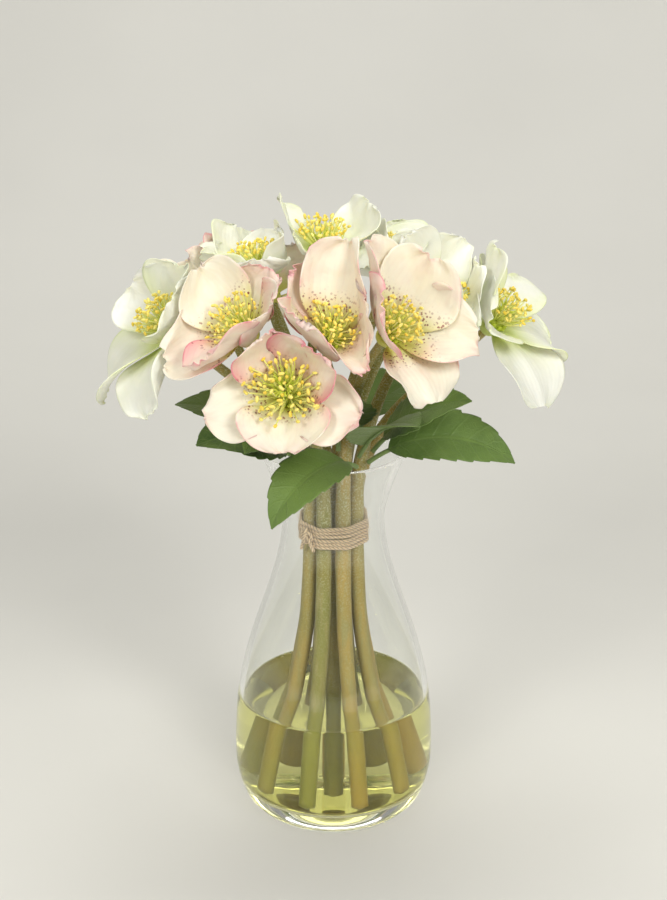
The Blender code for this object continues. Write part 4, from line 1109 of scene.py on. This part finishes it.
def open_points(name, sepal, u, v):
    """Points of one sepal, as it would be with no neighbours, at the grid values u and v. Its middle line
    is an arc of evenly changing slope, its sides lift with the square of their distance from that line and
    with the edges' order, and its edges wave."""
    bloom = BLOOMS[name]
    place, right, up, out = bloom_frame(bloom)
    length, width = sepal["length"], sepal["width"]
    low, high = (math.radians(a + sepal["tilt"]) for a in bloom["cup"])
    slope = low + (high - low) * u
    reach = CLAW_RADIUS + length * (np.sin(slope) - math.sin(low)) / (high - low)
    height = length * (math.cos(low) - np.cos(slope)) / (high - low)
    across = 0.5 * width * half_width(u) * v
    lift = SEPAL_CUP * across**2 / (0.5 * width)
    lift = lift + SEPAL_LEAP * np.abs(across) * np.where(v > 0.0, sepal["after"], sepal["before"])
    wave = np.sin(math.tau * 1.35 * u + sepal["phase"] + 0.9 * np.sign(v))
    lift = lift + bloom["ruffle"] * width * np.abs(v) ** 2.5 * u**1.5 * wave
    radial = reach - np.sin(slope) * lift
    rise = height + np.cos(slope) * lift
    c, s = math.cos(math.radians(sepal["turn"])), math.sin(math.radians(sepal["turn"]))
    way, side = c * right + s * up, -s * right + c * up
    return place + radial[..., None] * way + across[..., None] * side + rise[..., None] * out


def crinkle(u, v, phase, amount):
    """The small relief of a sepal, in metres: crossed waves that grow towards its edge and tip, as strong
    as the amount says, and lengthwise furrows that fan out from the claw."""
    broad = np.sin(5.0 * u + 3.1 * v + phase) * np.sin(4.3 * v - 2.0 * u + 1.7 * phase)
    fine = np.sin(17.0 * u + 6.0 * v + 2.3 * phase) * np.sin(13.0 * v + 3.0 * u - phase)
    furrow = np.cos(9.0 * np.pi * v) * np.clip(1.2 - u, 0.0, 1.0) * np.clip(3.0 * u, 0.0, 1.0)
    edge = np.abs(v) ** 3 * np.sin(11.0 * u + 3.0 * phase + np.sign(v))
    tip = u**6 * np.sin(8.0 * v + 2.0 * phase)
    relief = (0.55 * broad + 0.18 * fine) * u + 1.15 * edge * u + 0.8 * tip
    return amount * relief * MM + 0.08 * MM * furrow


def turned_about(pile, name, radius, rise, sides, **values):
    """A closed body turned about a bloom's axis, from radii and distances along the axis."""
    place, right, up, out = bloom_frame(BLOOMS[name])
    shape = Pile()
    turned(shape, np.asarray(radius), np.asarray(rise), sides)
    at = np.concatenate(shape.points)
    pile.add(place + at[:, :1] * right + at[:, 1:2] * up + at[:, 2:] * out, shape.quads[0],
             shape.triangles[0], **values)


def make_blooms(cream, white):
    """Thirteen blooms: five broad sepals each, on a green receptacle, round a boss of carpels and stamens."""
    stamens = stamen_finish()
    even = np.linspace(-1.0, 1.0, 31)
    near_tip = 0.86 + 0.14 * np.sin(np.linspace(0, 0.5 * np.pi, 10))[1:]
    v, u = np.meshgrid(np.sin(0.5 * np.pi * even) * 0.35 + 0.65 * even,
                       np.concatenate([np.linspace(0.0, 0.86, 28), near_tip]))
    thick = (0.62 - 0.30 * u - 0.08 * np.abs(v) ** 2) * MM
    blade_map = np.stack([0.5 + 0.5 * v, u], axis=-1)
    r, d, top = RECEPTACLE_RADIUS, RECEPTACLE_DEPTH, RECEPTACLE_TOP
    cone_r = [0.0, 0.40 * r, 0.62 * r, 0.88 * r, 1.0 * r, 0.97 * r, 0.8 * r, 0.4 * r, 0.0]
    cone_z = [-d, -d, -0.86 * d, -0.55 * d, -0.2 * d, 0.6 * top, top, 1.1 * top, 1.1 * top]
    for number, (name, bloom) in enumerate(BLOOMS.items()):
        draw = np.random.default_rng(SEED * 1000 + number)
        walls = walls_of(name)
        amount = 0.5 + bloom["ruffle"] / EVEN_RUFFLE
        pile = Pile()
        for sepal in sepals_of(name):
            grid = bent_clear(open_points(name, sepal, u, v), walls)
            grid = grid + sheet_normals(grid) * crinkle(u, v, sepal["phase"], amount)[..., None]
            span = np.stack([0.5 * sepal["width"] * half_width(u) * v, sepal["length"] * u], axis=-1) / CM
            span = span + draw.uniform(0.0, 30.0, 2)
            blade(pile, grid, thick, map_Blade=blade_map, map_Span=span, lot=draw.uniform(0.0, 1.0))
        turned_about(pile, name, cone_r, cone_z, 28, back=1.0, lot=0.0, map_Blade=(0.5, 0.0),
                     map_Span=(0.0, 0.0))
        finish = cream if bloom["colour"] == "cream" else white
        show(f"bloom_{name}_petals", pile, finish, f"bloom_{name}_sepals")
        make_boss(name, number, walls, stamens)


def make_boss(name, number, walls, finish):
    """A bloom's middle: a lime boss, a ring of small curled nectaries, styles that twist up from the boss,
    and slender stamens with plump anthers, which lean out as far as the sepals allow and keep off the
    walls."""
    place, right, up, out = bloom_frame(BLOOMS[name])
    draw = np.random.default_rng(SEED * 500 + number)
    kind = FRONT_MIDDLE if name == "front" else OTHER_MIDDLE
    foot = RECEPTACLE_TOP + GAP
    pile = Pile()
    b, h = BOSS_RADIUS, BOSS_HEIGHT
    turned_about(pile, name, [0.0, 0.62 * b, 0.95 * b, 0.9 * b, 0.62 * b, 0.3 * b, 0.0],
                 [foot, foot, foot + 0.25 * h, foot + 0.55 * h, foot + 0.8 * h, foot + 0.92 * h,
                  foot + 0.94 * h], 24, part=0.0, lot=0.3)
    first, last = BLOOMS[name]["cup"]
    low = math.radians(min(first + sepal["tilt"] - 0.25 * (first - last) for sepal in sepals_of(name)))
    limit = min(math.radians(kind["lean"]), 0.5 * np.pi - low)

    def ways(lean, turn):
        around = np.cos(turn)[:, None] * right + np.sin(turn)[:, None] * up
        return out * np.cos(lean)[:, None] + around * np.sin(lean)[:, None], around

    count = kind["stamens"]
    order = np.arange(count)
    lean = limit * np.sqrt((order + 0.5) / count) * draw.uniform(0.90, 1.04, count)
    turn = order * GOLDEN_ANGLE + draw.uniform(-0.25, 0.25, count)
    way, around = ways(lean, turn)
    root = place + out * (foot + 0.30 * h) + way * 0.62 * b
    reach = kind["reach"] * draw.uniform(0.78, 1.06, count) * (0.86 + 0.14 * lean / limit)
    tip = root + way * reach[:, None]
    for point, normal, _ in walls:
        tip = tip - normal * np.maximum(0.0, (tip - point) @ normal + 0.6 * STAMEN_MARGIN)[:, None]
    s = np.linspace(0.0, 1.0, 9)[None, :, None]
    bow = draw.normal(0.0, 0.55 * MM, (count, 1, 3)) + (around * 0.9 * MM)[:, None, :]
    paths = root[:, None, :] * (1 - s) + tip[:, None, :] * s + bow * 4.0 * s * (1 - s)
    radius = np.broadcast_to(np.linspace(0.40, 0.27, 9)[None] * MM * kind["stout"], (count, 9))
    lot = draw.uniform(0.0, 1.0, count)[:, None]
    tubes(pile, paths, radius, 6, part=np.linspace(0.30, 0.55, 9)[None], lot=lot)

    lie = unit(unit(paths[:, -1] - paths[:, -2]) * 0.5 + draw.normal(0.0, 0.6, (count, 3)))
    size = draw.uniform(0.85, 1.15, count)[:, None, None] * kind["anther"]
    t = np.linspace(-1.0, 1.0, 9)[None, :, None]
    anthers = paths[:, -1:, :] + lie[:, None, :] * t * 1.15 * MM * size
    plump = np.sqrt(np.maximum(1.0 - t[..., 0] ** 2, 0.04)) * 0.66 * MM * size[..., 0]
    plump = plump * (1.0 - 0.10 * np.exp(-(t[..., 0] / 0.2) ** 2))
    tubes(pile, anthers, plump, 8, part=1.0, lot=lot)

    styles = kind["styles"]
    turn = ring_angles(styles) + draw.uniform(0.0, 1.0)
    way, around = ways(draw.uniform(0.12, 0.5, styles), turn)
    root = place + out * (foot + 0.55 * h) + around * 0.3 * b
    t = np.linspace(0.0, 1.0, 22)[None, :, None]
    beside = np.cross(way, around)
    curl = around[:, None, :] * (np.cos(5.2 * t) * t) + beside[:, None, :] * (np.sin(5.2 * t) * t)
    paths = root[:, None, :] + way[:, None, :] * kind["style"] * t + curl * 1.9 * MM
    radius = np.broadcast_to(np.linspace(0.68, 0.28, 22)[None] * MM, (styles, 22))
    tubes(pile, paths, radius, 9, part=0.12, lot=draw.uniform(0.0, 0.7, styles)[:, None])

    cups = kind["nectaries"]
    around = ways(np.full(cups, 1.0), ring_angles(cups))[1]
    t = np.linspace(0.0, 1.0, 8)[None, :, None]
    paths = place + out * (foot + 0.15 * h) + around[:, None, :] * (0.8 * b + 1.9 * MM * np.sin(1.6 * t)) \
        + out * 2.9 * MM * t**1.4
    swell = np.interp(t[0, :, 0], [0, 0.6, 1.0], [0.45, 1.0, 0.75]) * MM
    tubes(pile, paths, np.broadcast_to(swell[None], (cups, 8)), 9, part=0.02, lot=0.1)
    show(f"bloom_{name}_middle", pile, finish, f"bloom_{name}_stamens")


# The stage.


def put_on_stage(name, data, place=None, aim=None):
    """Adds an object to the scene as part of the stage, turned to its aim if it has one."""
    old = bpy.data.objects.get(name)
    if old:
        bpy.data.objects.remove(old)
    obj = bpy.data.objects.new(name, data)
    if aim:
        obj.location = place
        obj.rotation_euler = (Vector(aim) - Vector(place)).to_track_quat("-Z", "Y").to_euler()
    bpy.context.scene.collection.objects.link(obj)
    return obj


def paper_finish(colour):
    """Matt paper with a faint cloudiness, clear where it is seen from behind."""
    made, shader, nodes = new_material("Stage paper")
    cloud = nodes.fade(nodes.noise(nodes.place(), 3.0, 3.0), 0.3, 0.7)
    ground = nodes.mix(cloud, rgba(colour), rgba([0.95 * channel for channel in colour]))
    behind = nodes.tree.nodes.new("ShaderNodeNewGeometry").outputs["Backfacing"]
    nodes.feed(shader, {"Base Color": ground, "Roughness": 0.9, "Specular IOR Level": 0.1,
                        "Alpha": nodes.less(1.0, behind)})
    return made


def make_stage(floor_colour, light_power):
    """A pale floor that sweeps up to a plain backdrop, two large soft lamps in front and one overhead, even
    light from all round, and the camera."""
    scene = bpy.context.scene
    turn = np.linspace(0.0, 0.5 * np.pi, 24)
    depth = np.concatenate([[FLOOR_FRONT, SWEEP_FROM], SWEEP_FROM + SWEEP_RADIUS * np.sin(turn[1:]),
                            [SWEEP_FROM + SWEEP_RADIUS]])
    height = np.concatenate([[0.0, 0.0], SWEEP_RADIUS * (1.0 - np.cos(turn[1:])), [BACKDROP_TOP]])
    profile = np.stack([depth, height - FLOOR_DROP], axis=-1)
    wide = np.linspace(-FLOOR_HALF_WIDTH, FLOOR_HALF_WIDTH, 9)
    grid = np.concatenate([np.broadcast_to(wide[None, :, None], (len(profile), 9, 1)),
                           np.broadcast_to(profile[:, None, :], (len(profile), 9, 2))], axis=-1)
    pile = Pile()
    pile.add(grid, grid_quads(len(profile), 9))
    sweep = put_on_stage("stage_floor", pile.mesh("stage_floor"))
    sweep.data.materials.append(paper_finish(floor_colour))
    for name, place, size, share, tint in LAMPS:
        lamp = bpy.data.lights.new(name, "AREA")
        lamp.shape = "SQUARE"
        lamp.size = size
        lamp.energy = light_power * share
        lamp.color = tint
        put_on_stage(name, lamp, place, LAMP_AIM)
    world = bpy.data.worlds.new("Studio air")
    world.use_nodes = True
    background = world.node_tree.nodes["Background"]
    background.inputs["Color"].default_value = rgba(AIR_COLOUR)
    background.inputs["Strength"].default_value = AIR_STRENGTH
    scene.world = world
    scene.view_settings.view_transform = "Standard"
    view = bpy.data.cameras.new("camera")
    view.lens = CAMERA_LENS
    view.sensor_fit = "VERTICAL"
    view.sensor_height = CAMERA_SENSOR
    scene.camera = put_on_stage("camera", view, CAMERA_PLACE, CAMERA_AIM)


# Settings, operators and panel.


def colour_setting(name, description, default):
    """A colour that the panel shows."""
    return bpy.props.FloatVectorProperty(name=name, description=description, subtype="COLOR", size=3, min=0.0,
                                         max=1.0, default=default)


class PosySettings(bpy.types.PropertyGroup):
    """The posy's settings, which the panel shows."""

    cream: colour_setting("Cream sepals", "Ground colour of the cream blooms", (0.935, 0.865, 0.690))
    white: colour_setting("White sepals", "Ground colour of the white blooms", (0.930, 0.930, 0.820))
    flush: colour_setting("Flush", "Colour that tints the edges of the cream blooms", (0.76, 0.26, 0.30))
    speckles: bpy.props.FloatProperty(
        name="Speckles", description="How strongly the cream blooms are speckled inside", subtype="FACTOR",
        min=0.0, max=1.0, default=0.85)
    water_level: bpy.props.FloatProperty(
        name="Water level", description="Height of the water above the floor", subtype="DISTANCE",
        unit="LENGTH", min=30.0 * MM, max=120.0 * MM, default=57.5 * MM)
    water_tint: colour_setting("Water tint", "Colour cast of the water", (0.90, 0.885, 0.36))
    floor: colour_setting("Floor", "Colour of the floor and backdrop", (0.710, 0.705, 0.668))
    light_power: bpy.props.FloatProperty(
        name="Light power", description="Power of the main soft light", unit="POWER", min=0.0, max=200.0,
        default=10.9)


class POSY_OT_vase(bpy.types.Operator):
    """Make the glass vase"""

    bl_idname = "posy.vase"
    bl_label = "Vase"

    def execute(self, context):
        make_vase()
        return {"FINISHED"}


class POSY_OT_water(bpy.types.Operator):
    """Fill the vase with water up to the level set"""

    bl_idname = "posy.water"
    bl_label = "Water"

    def execute(self, context):
        settings = context.scene.posy
        make_water(settings.water_level, settings.water_tint)
        return {"FINISHED"}


class POSY_OT_stems(bpy.types.Operator):
    """Stand the stems in the vase"""

    bl_idname = "posy.stems"
    bl_label = "Stems"

    def execute(self, context):
        make_stems()
        return {"FINISHED"}


class POSY_OT_twine(bpy.types.Operator):
    """Tie the stems with twine"""

    bl_idname = "posy.twine"
    bl_label = "Twine"

    def execute(self, context):
        make_twine()
        return {"FINISHED"}


class POSY_OT_leaves(bpy.types.Operator):
    """Add the leaves under the blooms"""

    bl_idname = "posy.leaves"
    bl_label = "Leaves"

    def execute(self, context):
        make_leaves()
        return {"FINISHED"}


class POSY_OT_blooms(bpy.types.Operator):
    """Open the blooms at the ends of the stems"""

    bl_idname = "posy.blooms"
    bl_label = "Blooms"

    def execute(self, context):
        settings = context.scene.posy
        cream = sepal_finish("Sepal cream", settings.cream, CREAM_THROAT, settings.flush, 0.55,
                             settings.speckles)
        white = sepal_finish("Sepal white", settings.white, WHITE_THROAT, WHITE_FLUSH, 0.5, 0.0)
        make_blooms(cream, white)
        return {"FINISHED"}


class POSY_OT_stage(bpy.types.Operator):
    """Set up the floor, the lights and the camera"""

    bl_idname = "posy.stage"
    bl_label = "Stage"

    def execute(self, context):
        settings = context.scene.posy
        make_stage(settings.floor, settings.light_power)
        return {"FINISHED"}


OPERATORS = (POSY_OT_vase, POSY_OT_water, POSY_OT_stems, POSY_OT_twine, POSY_OT_leaves, POSY_OT_blooms,
             POSY_OT_stage)


class POSY_PT_panel(bpy.types.Panel):
    """Settings and steps of the posy"""

    bl_label = "Posy"
    bl_space_type = "VIEW_3D"
    bl_region_type = "UI"
    bl_category = "Posy"

    def draw(self, context):
        settings = context.scene.posy
        for name in ("cream", "white", "flush", "speckles", "water_level", "water_tint", "floor",
                     "light_power"):
            self.layout.prop(settings, name)
        for operator in OPERATORS:
            self.layout.operator(operator.bl_idname)


def register():
    for made in (PosySettings, *OPERATORS, POSY_PT_panel):
        bpy.utils.register_class(made)
    bpy.types.Scene.posy = bpy.props.PointerProperty(type=PosySettings)


def unregister():
    del bpy.types.Scene.posy
    for made in reversed((PosySettings, *OPERATORS, POSY_PT_panel)):
        bpy.utils.unregister_class(made)


def main():
    register()
    bpy.ops.posy.vase()
    bpy.ops.posy.water()
    bpy.ops.posy.stems()
    bpy.ops.posy.twine()
    bpy.ops.posy.leaves()
    bpy.ops.posy.blooms()
    bpy.ops.posy.stage()
    bpy.context.view_layer.update()


if __name__ == "__main__":
    main()
